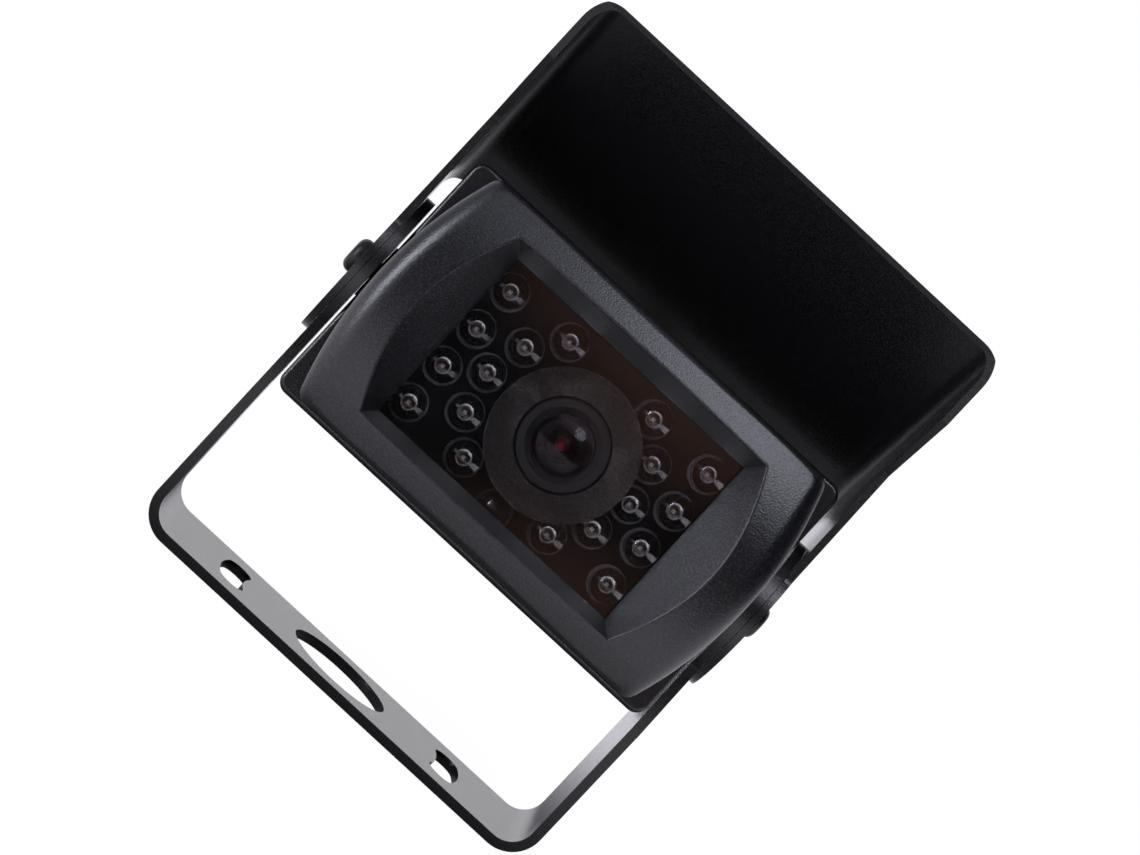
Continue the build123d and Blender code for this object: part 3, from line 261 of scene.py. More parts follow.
SHADERS = {
    "powder_coat": powder_coat("powder_coat", (0.0034, 0.0036, 0.0041), 0.36, 0.30 * MM, 0.05 * MM),
    "housing_paint": powder_coat("housing_paint", (0.0026, 0.0027, 0.0032), 0.38, 0.30 * MM, 0.05 * MM),
    "bezel_plastic": powder_coat(
        "bezel_plastic", (0.0018, 0.0020, 0.0027), 0.40, 0.30 * MM, 0.045 * MM, glint_paleness=7.0
    ),
    "rubber": soft_rubber(),
    "window_glass": clear("window_glass", (0.93, 0.93, 0.95), 1.45, smudge=0.05),
    "foam": foam_rubber(),
    "clear_epoxy": clear("clear_epoxy", (0.97, 0.97, 0.98), 1.53),
    "lead_frame": metal("lead_frame", (0.82, 0.81, 0.78), 0.28),
    "dark_epoxy": smooth_plastic("dark_epoxy", (0.004, 0.006, 0.016), 0.07, coat_weight=1.0),
    "lens_black": smooth_plastic("lens_black", (0.022, 0.021, 0.021), 0.40),
    "lens_glass": clear("lens_glass", (0.86, 0.70, 0.76), 1.30),
    "circuit_board": circuit_board(),
    "chip": smooth_plastic("chip", (0.012, 0.012, 0.013), 0.45),
    "brass": metal("brass", (0.78, 0.60, 0.30), 0.30),
    "connector_plastic": smooth_plastic("connector_plastic", (0.72, 0.69, 0.60), 0.50),
    "zinc_steel": metal("zinc_steel", (0.62, 0.63, 0.65), 0.34),
    "black_screw": metal("black_screw", (0.055, 0.053, 0.052), 0.42),
    "nylon": smooth_plastic("nylon", (0.020, 0.020, 0.020), 0.50),
    "gland_nylon": smooth_plastic("gland_nylon", (0.012, 0.012, 0.012), 0.42),
}


def wear(obj, slot_name):
    """Gives an object one material, and says which slot of the record it belongs to."""
    obj.data.materials.clear()
    obj.data.materials.append(SHADERS[slot_name].material)
    return obj


for part in frame["record"]["subparts"]:
    wear(NODES[part["node"]], part["material_slot"])

# ------------------------------------------------------------------ mesh tools


def new_piece(name, mesh, body, slot_name, *stands_for):
    """Adds a mesh as a piece of the object that rides on a body."""
    piece = bpy.data.objects.new(name, mesh)
    bpy.context.scene.collection.objects.link(piece)
    wear(piece, slot_name)
    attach(piece, body)
    if stands_for:
        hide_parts(*stands_for)
    return piece


def softened(node, body, slot_name, radius, sharp=math.radians(35)):
    """A copy of a CAD node with its sharp edges rounded, as coated metal has them."""
    mesh = NODES[node].data.copy()
    work = bmesh.new()
    work.from_mesh(mesh)
    bmesh.ops.remove_doubles(work, verts=work.verts, dist=1e-6)
    bmesh.ops.dissolve_limit(
        work, angle_limit=math.radians(0.4), verts=work.verts, edges=work.edges
    )
    edges = [e for e in work.edges if len(e.link_faces) == 2 and e.calc_face_angle() > sharp]
    bmesh.ops.bevel(
        work,
        geom=edges,
        offset=radius,
        segments=3,
        profile=0.5,
        affect="EDGES",
        clamp_overlap=True,
        harden_normals=False,
    )
    work.to_mesh(mesh)
    work.free()
    mesh.shade_smooth()
    piece = new_piece(node + "_coated", mesh, body, slot_name, node)
    piece.modifiers.new("normals", "WEIGHTED_NORMAL").keep_sharp = True
    return piece


softened("bracket", "bracket", "powder_coat", 0.28 * MM)
softened("visor", "visor", "powder_coat", 0.28 * MM)
softened("housing", "camera", "housing_paint", 0.12 * MM)
softened("rear_cover", "camera", "housing_paint", 0.12 * MM)
softened("foam_ring", "camera", "foam", 0.25 * MM)


def spun(work, place, profile, turns=40):
    """Adds a solid of revolution about the head's forward direction at a place on the head.

    The profile runs from the axis to the axis as (radius, forward) in metres."""
    rings = []
    for radius, forward in profile:
        if radius == 0:
            rings.append([work.verts.new((place[0], place[1], forward))])
            continue
        ring = []
        for step in range(turns):
            angle = 2 * math.pi * step / turns
            side = place[0] + radius * math.cos(angle)
            ring.append(work.verts.new((side, place[1] + radius * math.sin(angle), forward)))
        rings.append(ring)
    for lower, upper in zip(rings, rings[1:]):
        for step in range(turns):
            after = (step + 1) % turns
            corners = [lower[step % len(lower)], lower[after % len(lower)]]
            corners += [upper[after % len(upper)], upper[step % len(upper)]]
            face = list(dict.fromkeys(corners))
            if len(face) > 2:
                work.faces.new(face)


def block(work, low, high):
    """Adds a box between two corners, as (x, y, forward) on the head."""
    grid = [work.verts.new((x, y, z)) for x in (low[0], high[0])
            for y in (low[1], high[1]) for z in (low[2], high[2])]
    for face in ((0, 1, 3, 2), (4, 6, 7, 5), (0, 4, 5, 1), (2, 3, 7, 6), (0, 2, 6, 4), (1, 5, 7, 3)):
        work.faces.new([grid[index] for index in face])


def on_head(name, work, slot_name, *stands_for, smooth=True):
    """Turns work drawn in head coordinates into a piece of the camera head."""
    bmesh.ops.recalc_face_normals(work, faces=work.faces)
    work.transform(HEAD)
    mesh = bpy.data.meshes.new(name)
    work.to_mesh(mesh)
    work.free()
    if smooth:
        mesh.shade_smooth()
        mesh.set_sharp_from_angle(angle=math.radians(38))
    return new_piece(name, mesh, "camera", slot_name, *stands_for)


def islands(node):
    """Centre and radius across the head of each separate solid of a CAD node."""
    work = bmesh.new()
    work.from_mesh(NODES[node].data)
    bmesh.ops.remove_doubles(work, verts=work.verts, dist=1e-6)
    to_head = HEAD.inverted()
    left = set(work.verts)
    found = []
    while left:
        group, edge_of_group = set(), [left.pop()]
        while edge_of_group:
            vertex = edge_of_group.pop()
            group.add(vertex)
            for edge in vertex.link_edges:
                other = edge.other_vert(vertex)
                if other in left:
                    left.remove(other)
                    edge_of_group.append(other)
        spots = [to_head @ vertex.co for vertex in group]
        xs, ys = [s.x for s in spots], [s.y for s in spots]
        found.append(((min(xs) + max(xs)) / 2, (min(ys) + max(ys)) / 2, (max(xs) - min(xs)) / 2))
    work.free()
    return sorted(found)


# ------------------------------------------------------------------ front bezel

BEZEL_REAR = head_extent("front_bezel", 2)[0]
GLASS_FRONT = head_extent("window_glass", 2)[1]
LIP_REAR = GLASS_FRONT + 0.4 * MM
LIP_FRONT = LIP_REAR + 0.6 * MM
CROWN_TOP = 25.9 * MM
CROWN_RADIUS = 60.0 * MM
BOW_RADIUS = 260.0 * MM
FUNNEL_DEPTH = 7.9 * MM
SHOULDER_ENDS = 3.8 * MM        # rounding of the bezel's bowed ends
SHOULDER_EDGES = 1.3 * MM       # rounding along its top and bottom
SHOULDER_TURN = math.radians(62)
RIM_TURN = math.radians(88)
RIM_ROUND = 0.40 * MM           # tighter rounding where the shoulder meets the side
RIDGE_ROUND = 0.34 * MM
SIDE_STEPS = 56
EDGE_STEPS = 76
FUNNEL_ROWS = range(1, 12)      # the loops of faces that slope down to the window
LIP_STEPS = 8
RIDGE_STEPS = 5
FACE_STEPS = 12
BEAD_STEPS = 3

# Outlines as half width at the corners, half width at the middle, and half height
WINDOW_OUTLINE = (21.6 * MM, 21.6 * MM, 14.45 * MM)
RIM_OUTLINE = (23.65 * MM, 27.4 * MM, 16.7 * MM)
OUTER_OUTLINE = (31.25 * MM, 34.8 * MM, 21.0 * MM)
OUTER_CORNER = 2.0 * MM
SEAT_OUTLINE = (23.6 * MM, 23.6 * MM, 16.45 * MM)


def crown(x, y):
    """Forward place of the bezel's crowned face."""
    ring = CROWN_TOP - CROWN_RADIUS + math.sqrt(CROWN_RADIUS**2 - y * y)
    centre = CROWN_TOP - BOW_RADIUS
    return centre + math.sqrt((ring - centre) ** 2 - x * x)


def evenly(path, count):
    """Splits a path into equal steps and leaves out its last point."""
    lengths = [0.0]
    for near, far in zip(path, path[1:]):
        lengths.append(lengths[-1] + (far - near).length)
    points, index = [], 0
    for step in range(count):
        goal = lengths[-1] * step / count
        while lengths[index + 1] < goal:
            index += 1
        share = (goal - lengths[index]) / (lengths[index + 1] - lengths[index])
        points.append(path[index].lerp(path[index + 1], share))
    return points


def bowed_loop(corner_x, middle_x, half_height, radius=0.0):
    """Closed outline from the top right corner round: a bowed end, the bottom, an end, the top."""
    bow = max(middle_x - corner_x, 0.1e-6)
    bow_radius = (half_height**2 + bow * bow) / (2 * bow)
    bow_centre = middle_x - bow_radius
    corner_y = half_height - radius
    corner_turn = math.asin(corner_y / (bow_radius - radius))
    centre = Vector((bow_centre + (bow_radius - radius) * math.cos(corner_turn), corner_y))
    halfway = (corner_turn + math.pi / 2) / 2

    def corner(start, end):
        turns = [start + (end - start) * step / 8 for step in range(9)]
        return [centre + Vector((math.cos(a), math.sin(a))) * radius for a in turns]

    side = [
        Vector((bow_centre + bow_radius * math.cos(a), bow_radius * math.sin(a)))
        for a in (corner_turn * (1 - step / 40) for step in range(41))
    ]
    upper = (corner(halfway, corner_turn) if radius else []) + side
    end = upper + [Vector((p.x, -p.y)) for p in reversed(upper[:-1])]
    right_part = corner(halfway, math.pi / 2) if radius else [Vector((corner_x, half_height))]
    left_part = [Vector((-p.x, p.y)) for p in right_part]
    across = left_part + list(reversed(right_part))
    loop = evenly(end, SIDE_STEPS)
    loop += evenly([Vector((-p.x, -p.y)) for p in across], EDGE_STEPS)
    loop += evenly([Vector((-p.x, -p.y)) for p in end], SIDE_STEPS)
    loop += evenly(across, EDGE_STEPS)
    return loop


def ridge_place(window, rim):
    """Where the funnel's slope from a window point through a rim point meets the crown."""
    share = 1.0
    for _ in range(30):
        spot = window + (rim - window) * share
        share = (crown(spot.x, spot.y) - LIP_FRONT) / FUNNEL_DEPTH
    return spot.to_3d() + Vector((0, 0, LIP_FRONT + share * FUNNEL_DEPTH))


def shoulder_sizes(outline):
    """Size of the rounded shoulder at each point: large at the bowed ends, small elsewhere."""
    count = len(outline)
    sizes = []
    for index in range(count):
        along = (outline[(index + 1) % count] - outline[index - 1]).normalized()
        sizes.append(SHOULDER_EDGES + (SHOULDER_ENDS - SHOULDER_EDGES) * abs(along.y) ** 3)
    for _ in range(60):
        sizes = [
            (sizes[index - 1] + 2 * sizes[index] + sizes[(index + 1) % count]) / 4
            for index in range(count)
        ]
    return sizes


def on_face(ridge, outward, distance, drop=0.0):
    """Place on the crowned face, that far out from the ridge and that far below the crown."""
    spot = ridge.to_2d() + outward * distance
    return Vector((spot.x, spot.y, crown(spot.x, spot.y) - drop))


def face_to_rim(ridge, outward, reach, size):
    """From the ridge out over the face, round the shoulder, then round the tighter rim."""
    turned, lowered = math.sin(SHOULDER_TURN), math.cos(SHOULDER_TURN)
    bead = RIM_ROUND * (math.sin(RIM_TURN) - turned)
    shoulder = reach - size * turned - bead
    points = []
    for step in range(1, FACE_STEPS + 1):
        distance = RIDGE_ROUND + (shoulder - RIDGE_ROUND) * step / FACE_STEPS
        points.append(on_face(ridge, outward, distance))
    for step in range(1, FACE_STEPS + 1):
        turn = SHOULDER_TURN * step / FACE_STEPS
        distance = shoulder + size * math.sin(turn)
        points.append(on_face(ridge, outward, distance, size * (1 - math.cos(turn))))
    for step in range(1, BEAD_STEPS + 1):
        turn = SHOULDER_TURN + (RIM_TURN - SHOULDER_TURN) * step / BEAD_STEPS
        out = size * turned + RIM_ROUND * (math.sin(turn) - turned)
        drop = size * (1 - lowered) + RIM_ROUND * (lowered - math.cos(turn))
        points.append(on_face(ridge, outward, shoulder + out, drop))
    return points


def bezel_column(inner, middle, outer, back, size):
    """Points of one cut through the bezel: lip, funnel, ridge, face, side and seat."""
    lip = inner.to_3d() + Vector((0, 0, LIP_FRONT))
    ridge = ridge_place(inner, middle)
    outward = outer - ridge.to_2d()
    reach = outward.length
    outward = outward / reach
    before = ridge + (lip - ridge).normalized() * RIDGE_ROUND
    after = on_face(ridge, outward, RIDGE_ROUND)
    column = [inner.to_3d() + Vector((0, 0, LIP_REAR)), lip]
    column += [lip.lerp(before, step / LIP_STEPS) for step in range(1, LIP_STEPS)]
    for step in range(RIDGE_STEPS + 1):
        share = step / RIDGE_STEPS
        column.append(before.lerp(ridge, share).lerp(ridge.lerp(after, share), share))
    column += face_to_rim(ridge, outward, reach, size)
    edge = column[-1]
    foot = Vector((outer.x, outer.y, BEZEL_REAR))
    column += [edge.lerp(foot, share) for share in (0.03, 0.3, 0.6, 1.0)]
    column.append(back.to_3d() + Vector((0, 0, BEZEL_REAR)))
    column.append(back.to_3d() + Vector((0, 0, LIP_REAR)))
    return column


def front_bezel():
    """The bezel as closed loops, from the window's lip over the ridge and shoulder and back."""
    window = bowed_loop(*WINDOW_OUTLINE)
    rim = bowed_loop(*RIM_OUTLINE)
    outline = bowed_loop(*OUTER_OUTLINE, radius=OUTER_CORNER)
    seat = bowed_loop(*SEAT_OUTLINE)
    shoulders = shoulder_sizes(outline)
    columns = [bezel_column(*points) for points in zip(window, rim, outline, seat, shoulders)]
    work = bmesh.new()
    grid = [[work.verts.new(point) for point in column] for column in columns]
    for near, far in zip(grid, grid[1:] + grid[:1]):
        for row in range(len(near)):
            after = (row + 1) % len(near)
            work.faces.new((near[row], near[after], far[after], far[row]))
    piece = on_head("front_bezel_moulded", work, "bezel_plastic", "front_bezel")
    piece.data.materials.append(BEZEL_GRAIN.material)
    for index, face in enumerate(piece.data.polygons):
        if index % len(columns[0]) in FUNNEL_ROWS:
            face.material_index = 1


BEZEL_GRAIN = powder_coat(
    "bezel_grain", (0.0040, 0.0042, 0.0050), 0.42, 0.32 * MM, 0.12 * MM, glint_paleness=9.0
)
front_bezel()

# ------------------------------------------------------------------ infrared LEDs

LED_FOOT, LED_TOP = head_extent("ir_led_domes", 2)
CUP_FOOT, CUP_TOP = head_extent("ir_led_cups", 2)
FLANGE_RADIUS = islands("ir_led_domes")[0][2]
BODY_RADIUS = FLANGE_RADIUS - 0.4 * MM
FLANGE_TOP = LED_FOOT + 1.0 * MM
LED_SPOTS = [(x, y) for x, y, _ in islands("ir_led_cups")]
CUP_RADIUS = islands("ir_led_cups")[0][2]


def dome_profile(foot, flange_top, top, flange, radius):
    """Moulded epoxy body: flat foot, flange, straight side, and a round top."""
    centre = top - radius
    points = [(0, foot), (flange, foot), (flange, flange_top), (radius, flange_top)]
    for step in range(15):
        angle = math.pi / 2 * step / 14
        points.append((radius * math.cos(angle), centre + radius * math.sin(angle)))
    points[-1] = (0, top)
    return points


EPOXY_SIDE = Shader("epoxy_side", (0.62, 0.62, 0.64), 0.40, transmission_weight=0.55, ior=1.5)


def frost_sides(piece, dome_foot):
    """Gives the LED bodies' straight sides and flanges their duller, frosted look."""
    piece.data.materials.append(EPOXY_SIDE.material)
    to_head = HEAD.inverted()
    for face in piece.data.polygons:
        place = to_head @ face.center
        if LED_FOOT + 0.1 * MM < place.z < dome_foot:
            face.material_index = 1


def led_bodies():
    """The clear epoxy bodies of all the LEDs."""
    work = bmesh.new()
    for spot in LED_SPOTS:
        spun(work, spot, dome_profile(LED_FOOT, FLANGE_TOP, LED_TOP, FLANGE_RADIUS, BODY_RADIUS))
    piece = on_head("ir_led_bodies", work, "clear_epoxy", "ir_led_domes")
    frost_sides(piece, LED_TOP - BODY_RADIUS)


CUP_RIM = 0.88 * CUP_RADIUS
CUP_NECK = 0.25 * MM
DISH_FLOOR = CUP_TOP - 0.35 * MM
DIE_HALF = 0.11 * MM
DIE_HEIGHT = 0.1 * MM
BAR_NEAR = 0.66 * MM            # the second lead's bar, across from the cup's middle
BAR_FAR = 1.0 * MM
BAR_HALF = 0.16 * MM
BRIDGE_FOOT = CUP_TOP - 0.3 * MM
BRIDGE_HALF = 0.11 * MM
TAB_END = 0.72 * MM             # the short tab on the cup's other side
TAB_HALF = 0.1 * MM


def cup_profile():
    """A thin neck that widens to a rim round a flat, dished floor."""
    return [
        (0, CUP_FOOT),
        (CUP_NECK, CUP_FOOT),
        (CUP_NECK, CUP_TOP - 1.1 * MM),
        (0.85 * CUP_RIM, CUP_TOP - 0.7 * MM),
        (CUP_RIM, CUP_TOP),
        (0.80 * CUP_RIM, CUP_TOP),
        (0.50 * CUP_RIM, DISH_FLOOR),
        (0, DISH_FLOOR),
    ]


def led_lead_frames():
    """Each LED's two leads: one ends in the dished cup, the other in a bar beside it."""
    work = bmesh.new()
    side = 0.9 * CUP_RIM
    bar_top = CUP_TOP + 0.05 * MM
    for x, y in LED_SPOTS:
        spun(work, (x, y), cup_profile(), turns=28)
        low = (x - DIE_HALF, y - DIE_HALF, DISH_FLOOR)
        block(work, low, (x + DIE_HALF, y + DIE_HALF, DISH_FLOOR + DIE_HEIGHT))
        block(work, (x + BAR_NEAR, y - BAR_HALF, CUP_FOOT), (x + BAR_FAR, y + BAR_HALF, bar_top))
        low = (x + side, y - BRIDGE_HALF, BRIDGE_FOOT)
        block(work, low, (x + BAR_NEAR, y + BRIDGE_HALF, CUP_TOP))
        block(work, (x - TAB_END, y - TAB_HALF, BRIDGE_FOOT), (x - side, y + TAB_HALF, CUP_TOP))
    piece = on_head("ir_led_lead_frames", work, "lead_frame", "ir_led_cups")
    piece.data.materials.append(SHADERS["chip"].material)
    to_head = HEAD.inverted()
    for face in piece.data.polygons:
        place = to_head @ face.center
        if abs(place.z - DISH_FLOOR) < 0.02 * MM:
            face.material_index = 1


led_bodies()
led_lead_frames()

# ------------------------------------------------------------------ light sensor

SENSOR_SPOT = islands("light_sensor")[0]
SENSOR_TOP = head_extent("light_sensor", 2)[1]
CHIP_RADIUS = 0.5 * MM
CHIP_TOP = LED_FOOT + 3.2 * MM


def light_sensor():
    """A smaller dark body over a pale sensing chip."""
    work = bmesh.new()
    x, y, flange = SENSOR_SPOT
    spun(work, (x, y), dome_profile(LED_FOOT, FLANGE_TOP, SENSOR_TOP, flange, flange - 0.4 * MM))
    body_faces = len(work.faces)
    chip = [(0, LED_FOOT), (CHIP_RADIUS, LED_FOOT), (CHIP_RADIUS, CHIP_TOP), (0, CHIP_TOP)]
    spun(work, (x, y), chip)
    piece = on_head("light_sensor_body", work, "dark_epoxy", "light_sensor")
    piece.data.materials.append(SHADERS["lead_frame"].material)
    for face in piece.data.polygons[body_faces:]:
        face.material_index = 1


light_sensor()

# ------------------------------------------------------------------ lens

# Painted light: the pupil glows, brighter at its middle and dimmer at its rim, a painted reflection of the ruby
# coated glass.
PUPIL_GLOW = Shader("lens_pupil_painted_glow", (0.22, 0.008, 0.030), 0.10)
PUPIL_GLOW.set(emission_color=(0.50, 0.03, 0.10, 1.0), emission_strength=0.10)
PUPIL_RIM_GLOW = Shader("lens_pupil_rim_painted_glow", (0.06, 0.004, 0.012), 0.12)
PUPIL_RIM_GLOW.set(emission_color=(0.50, 0.03, 0.10, 1.0), emission_strength=0.022)
STOP = Shader("lens_stop", (0.004, 0.004, 0.005), 0.35)
FRONT_CURVE = 9.0 * MM          # radius of the front element's face
FRONT_STEPS = 16
PUPIL_RADIUS = 0.85 * MM
STOP_WALL = 1.5 * MM            # from the rear element's edge in to the stop
STOP_BEHIND = 0.5 * MM          # from the rear of the baffle's cone back to the stop


def stop_profile(rear, front, bore):
    """A flat rear, a stepped stop, and a shallow bowl with the pupil at its middle."""
    return [
        (0, rear),
        (bore, rear),
        (bore, front + 0.2 * MM),
        (0.94 * bore, front + 0.3 * MM),
        (0.86 * bore, front),
        (1.25 * PUPIL_RADIUS, front - 0.3 * MM),
        (PUPIL_RADIUS, front - 0.4 * MM),
        (0.72 * PUPIL_RADIUS, front - 0.28 * MM),
        (0.4 * PUPIL_RADIUS, front - 0.22 * MM),
        (0, front - 0.20 * MM),
    ]


def lens_stop():
    """The rear group seen through the front glass: a black stop round a pupil that glows ruby, a painted
    reflection of the coated glass.
    """
    work = bmesh.new()
    x, y, radius = islands("lens_rear_element")[0]
    rear = head_extent("lens_rear_element", 2)[0]
    front = head_extent("lens_baffle", 2)[0] - STOP_BEHIND
    bore = radius - STOP_WALL
    spun(work, (x, y), stop_profile(rear, front, bore))
    piece = on_head("lens_rear_group", work, "lens_glass", "lens_rear_element")
    piece.data.materials.clear()
    for shader in (STOP, PUPIL_GLOW, SHADERS["black_screw"], PUPIL_RIM_GLOW):
        piece.data.materials.append(shader.material)
    to_head = HEAD.inverted()
    for face in piece.data.polygons:
        spot = to_head @ face.center
        reach = math.hypot(spot.x - x, spot.y - y)
        if spot.z > front - 1.0 * MM:
            # the pupil's painted glow, brighter at the middle than at the rim
            if reach < PUPIL_RADIUS:
                face.material_index = 1 if reach < 0.5 * PUPIL_RADIUS else 3
            elif reach > 0.88 * bore:
                face.material_index = 2


def lens_front_glass():
    """The front element, with a smoothly curved face and a flat rear."""
    work = bmesh.new()
    x, y, radius = islands("lens_front_element")[0]
    rear, front = head_extent("lens_front_element", 2)
    centre = front - FRONT_CURVE
    profile = [(0, rear), (radius, rear)]
    for step in range(FRONT_STEPS):
        reach = radius * (1 - step / FRONT_STEPS)
        profile.append((reach, centre + math.sqrt(FRONT_CURVE**2 - reach**2)))
    profile.append((0, front))
    spun(work, (x, y), profile, turns=64)
    on_head("lens_front_glass", work, "lens_glass", "lens_front_element")


lens_stop()
lens_front_glass()

# ------------------------------------------------------------------ floor and light

FLOOR_SIZE = 6.0
FLOOR_GAP = 0.02 * MM           # below the bracket, so that the two don't flicker
FLOOR_WHITE = 1.1
FLOOR_NEAR = 0.03               # painted shadow: the floor's glow on the object is dimmed near it and grows from here to there
FLOOR_FAR = 0.14
FLOOR_SHADOW_GLOW = 0.10
FLOOR_DIFFUSE = 0.12            # share of the floor that takes light and shadow
COOL = (0.93, 0.94, 1.08)
WARM = (0.40, 0.20, 0.15)
GLOWS = ((3.0, 15.6, 5.2), (4.0, 5.8, 4.9))     # warm patches: azimuth, elevation, half width
SKY_LEFT = 0.42
SKY_RIGHT = 0.02
SKY_BEHIND = 0.76
SKY_ABOVE = 0.30


def around(azimuth, elevation, distance=0.8):
    """Place round the object: azimuth from the front towards +X, in degrees."""
    a, e = math.radians(azimuth), math.radians(elevation)
    level = math.cos(e) * distance
    return PIVOT + Vector((math.sin(a) * level, -math.cos(a) * level, math.sin(e) * distance))


def make_floor():
    """A white studio floor, lit from within so that it stays almost white in the shade; for light and reflections
    its glow is dimmed near the object, a painted shadow.
    """
    mesh = bpy.data.meshes.new("floor")
    work = bmesh.new()
    bmesh.ops.create_grid(work, x_segments=8, y_segments=8, size=FLOOR_SIZE / 2)
    work.to_mesh(mesh)
    work.free()
    floor = bpy.data.objects.new("floor", mesh)
    bpy.context.scene.collection.objects.link(floor)
    floor.location.z = CAD_BOX[0].z - FLOOR_GAP
    material = bpy.data.materials.new("studio_floor")
    material.use_nodes = True
    tree = material.node_tree
    surface = tree.nodes["Principled BSDF"]
    surface.inputs["Base Color"].default_value = (0.9, 0.9, 0.9, 1.0)
    surface.inputs["Roughness"].default_value = 0.9
    link = tree.links.new
    place = tree.nodes.new("ShaderNodeTexCoord")
    reach = tree.nodes.new("ShaderNodeVectorMath")
    reach.operation = "LENGTH"
    link(place.outputs["Object"], reach.inputs[0])
    # Painted shadow: for light and reflections, not for the eye, the floor's glow is dimmed near the object.
    shade = tree.nodes.new("ShaderNodeMapRange")
    shade.interpolation_type = "SMOOTHSTEP"
    link(reach.outputs["Value"], shade.inputs["Value"])
    shade.inputs["From Min"].default_value = FLOOR_NEAR
    shade.inputs["From Max"].default_value = FLOOR_FAR
    shade.inputs["To Min"].default_value = FLOOR_SHADOW_GLOW
    seen = tree.nodes.new("ShaderNodeLightPath")
    glow = tree.nodes.new("ShaderNodeMath")
    glow.operation = "MAXIMUM"
    link(seen.outputs["Is Camera Ray"], glow.inputs[0])
    link(shade.outputs["Result"], glow.inputs[1])
    strength = tree.nodes.new("ShaderNodeMath")
    strength.operation = "MULTIPLY"
    link(glow.outputs["Value"], strength.inputs[0])
    strength.inputs[1].default_value = FLOOR_WHITE
    tint = tree.nodes.new("ShaderNodeMix")
    tint.data_type = "RGBA"
    link(seen.outputs["Is Camera Ray"], tint.inputs["Factor"])
    tint.inputs["A"].default_value = (0.98, 0.97, 1.06, 1.0)
    tint.inputs["B"].default_value = (1.0, 1.0, 1.0, 1.0)
    white = tree.nodes.new("ShaderNodeEmission")
    link(tint.outputs["Result"], white.inputs["Color"])
    link(strength.outputs["Value"], white.inputs["Strength"])
    mix = tree.nodes.new("ShaderNodeMixShader")
    mix.inputs["Fac"].default_value = FLOOR_DIFFUSE
    link(white.outputs["Emission"], mix.inputs[1])
    tree.links.new(surface.outputs["BSDF"], mix.inputs[2])
    tree.links.new(mix.outputs["Shader"], tree.nodes["Material Output"].inputs["Surface"])
    floor.data.materials.append(material)


def soft_light(name, place, aim, width, height, power, color=(1.0, 1.0, 1.0)):
    """A rectangular soft box."""
    data = bpy.data.lights.new(name, "AREA")
    data.shape = "RECTANGLE"
    data.size = width
    data.size_y = height
    data.energy = power
    data.color = color
    light = bpy.data.objects.new(name, data)
    bpy.context.scene.collection.objects.link(light)
    light.location = place
    light.rotation_euler = (aim - place).to_track_quat("-Z", "Y").to_euler()


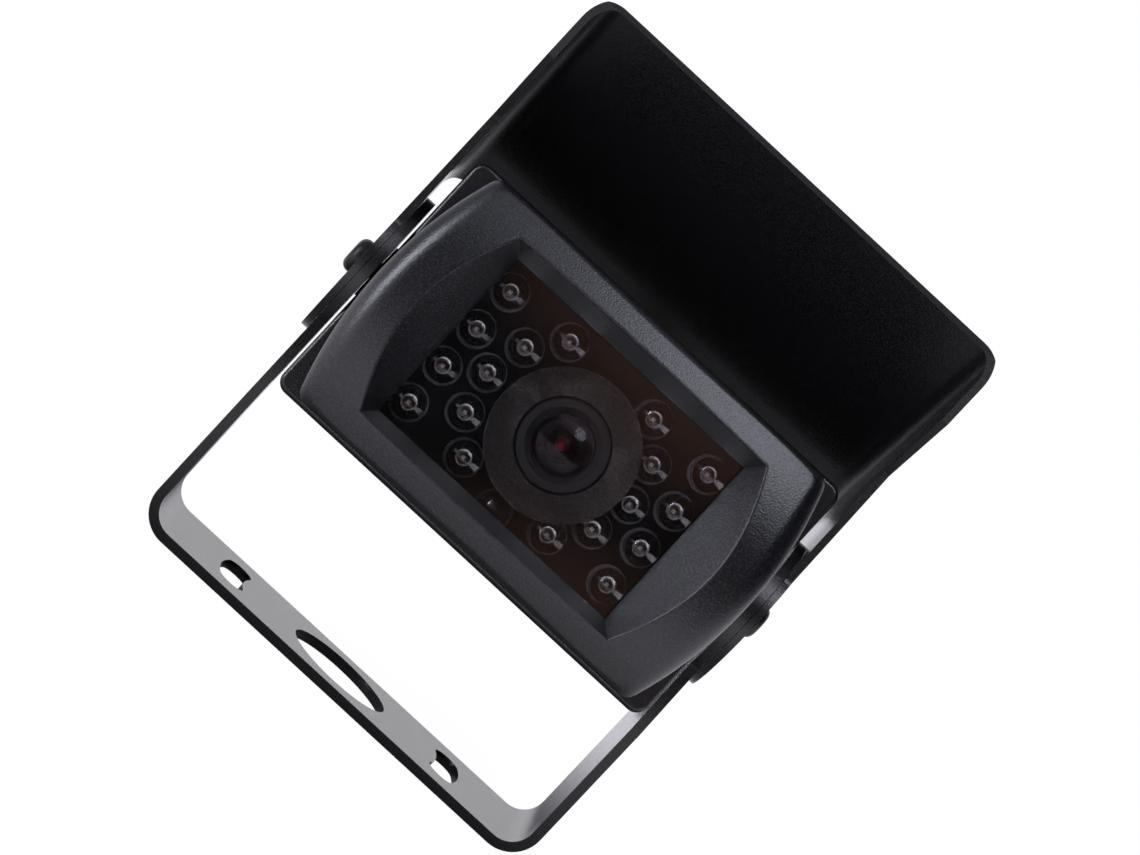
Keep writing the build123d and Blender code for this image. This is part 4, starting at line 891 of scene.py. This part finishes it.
def make_sky():
    """White all round for the eye; for light and reflections, bright behind, dim in front."""
    world = bpy.data.worlds.new("studio")
    bpy.context.scene.world = world
    world.use_nodes = True
    tree = world.node_tree
    nodes = tree.nodes
    link = tree.links.new
    place = nodes.new("ShaderNodeTexCoord")
    split = nodes.new("ShaderNodeSeparateXYZ")
    link(place.outputs["Generated"], split.inputs["Vector"])

    def spread(value, start, end, low, high):
        made = nodes.new("ShaderNodeMapRange")
        made.interpolation_type = "SMOOTHSTEP"
        link(value, made.inputs["Value"])
        for key, number in (("From Min", start), ("From Max", end), ("To Min", low), ("To Max", high)):
            made.inputs[key].default_value = number
        return made.outputs["Result"]

    from_left = spread(split.outputs["X"], 0.12, -1.0, SKY_RIGHT, SKY_LEFT)
    from_behind = spread(split.outputs["Y"], 0.35, 0.9, 0.0, SKY_BEHIND)
    from_above = spread(split.outputs["Z"], 0.88, 1.0, 0.0, SKY_ABOVE)

    def total_of(first, second):
        made = nodes.new("ShaderNodeMath")
        made.operation = "ADD"
        link(first, made.inputs[0])
        link(second, made.inputs[1])
        return made.outputs["Value"]

    total = total_of(total_of(from_left, from_behind), from_above)
    tint = nodes.new("ShaderNodeMix")
    tint.data_type = "RGBA"
    link(from_behind, tint.inputs["Factor"])
    tint.inputs["A"].default_value = (*COOL, 1.0)
    tint.inputs["B"].default_value = (1.0, 0.99, 1.0, 1.0)
    dim = nodes.new("ShaderNodeBackground")
    link(tint.outputs["Result"], dim.inputs["Color"])
    link(total, dim.inputs["Strength"])
    lit = dim.outputs["Background"]
    for azimuth, elevation, reach in GLOWS:
        toward = (around(azimuth, elevation) - PIVOT).normalized()
        facing = nodes.new("ShaderNodeVectorMath")
        facing.operation = "DOT_PRODUCT"
        link(place.outputs["Generated"], facing.inputs[0])
        facing.inputs[1].default_value = toward
        edge, core = math.cos(math.radians(reach)), math.cos(math.radians(reach * 0.55))
        glow = nodes.new("ShaderNodeBackground")
        glow.inputs["Color"].default_value = (*WARM, 1.0)
        link(spread(facing.outputs["Value"], edge, core, 0.0, 1.0), glow.inputs["Strength"])
        both = nodes.new("ShaderNodeAddShader")
        link(lit, both.inputs[0])
        link(glow.outputs["Background"], both.inputs[1])
        lit = both.outputs["Shader"]
    white = nodes.new("ShaderNodeBackground")
    white.inputs["Color"].default_value = (1.0, 1.0, 1.0, 1.0)
    seen = nodes.new("ShaderNodeLightPath")
    mix = nodes.new("ShaderNodeMixShader")
    link(seen.outputs["Is Camera Ray"], mix.inputs["Fac"])
    link(lit, mix.inputs[1])
    link(white.outputs["Background"], mix.inputs[2])
    output = nodes.get("World Output") or nodes.new("ShaderNodeOutputWorld")
    link(mix.outputs["Shader"], output.inputs["Surface"])


make_floor()
make_sky()
soft_light("top_box", around(-8, 50), PIVOT, 0.9, 0.35, 0.54, COOL)
soft_light("top_right_box", around(18, 48), PIVOT, 0.28, 0.30, 1.15, COOL)
soft_light("left_box", around(-62, 12), PIVOT, 0.16, 0.45, 2.6, COOL)

# ------------------------------------------------------------------ camera

CAMERA_DISTANCE = 0.80
CAMERA_AZIMUTH = math.radians(-2.163)
CAMERA_ELEVATION = math.radians(7.384)
CAMERA_ROLL = math.radians(43.03)
VIEW_WIDTH = 0.16335          # width of the picture at the pivot
AIM_RIGHT = 0.33 * MM
AIM_UP = 2.43 * MM
SENSOR_WIDTH = 36.0


def make_camera():
    """Long lens, a little left of and above the lens axis, rolled so that the object leans right."""
    data = bpy.data.cameras.new("camera")
    camera = bpy.data.objects.new("camera", data)
    bpy.context.scene.collection.objects.link(camera)
    level = math.cos(CAMERA_ELEVATION)
    back = Vector(
        (
            math.sin(CAMERA_AZIMUTH) * level,
            -math.cos(CAMERA_AZIMUTH) * level,
            math.sin(CAMERA_ELEVATION),
        )
    )
    right = Vector((0, 0, 1)).cross(back).normalized()
    up = back.cross(right)
    target = PIVOT + right * AIM_RIGHT + up * AIM_UP
    rolled_right = right * math.cos(CAMERA_ROLL) + up * math.sin(CAMERA_ROLL)
    rolled_up = up * math.cos(CAMERA_ROLL) - right * math.sin(CAMERA_ROLL)
    turn = Matrix((rolled_right, rolled_up, back)).transposed().to_4x4()
    camera.matrix_world = Matrix.Translation(target + back * CAMERA_DISTANCE) @ turn
    data.sensor_width = SENSOR_WIDTH
    data.lens = SENSOR_WIDTH * CAMERA_DISTANCE / VIEW_WIDTH
    data.clip_start = 0.01
    data.clip_end = 20.0
    bpy.context.scene.camera = camera


make_camera()
bpy.context.scene.view_settings.view_transform = "Standard"
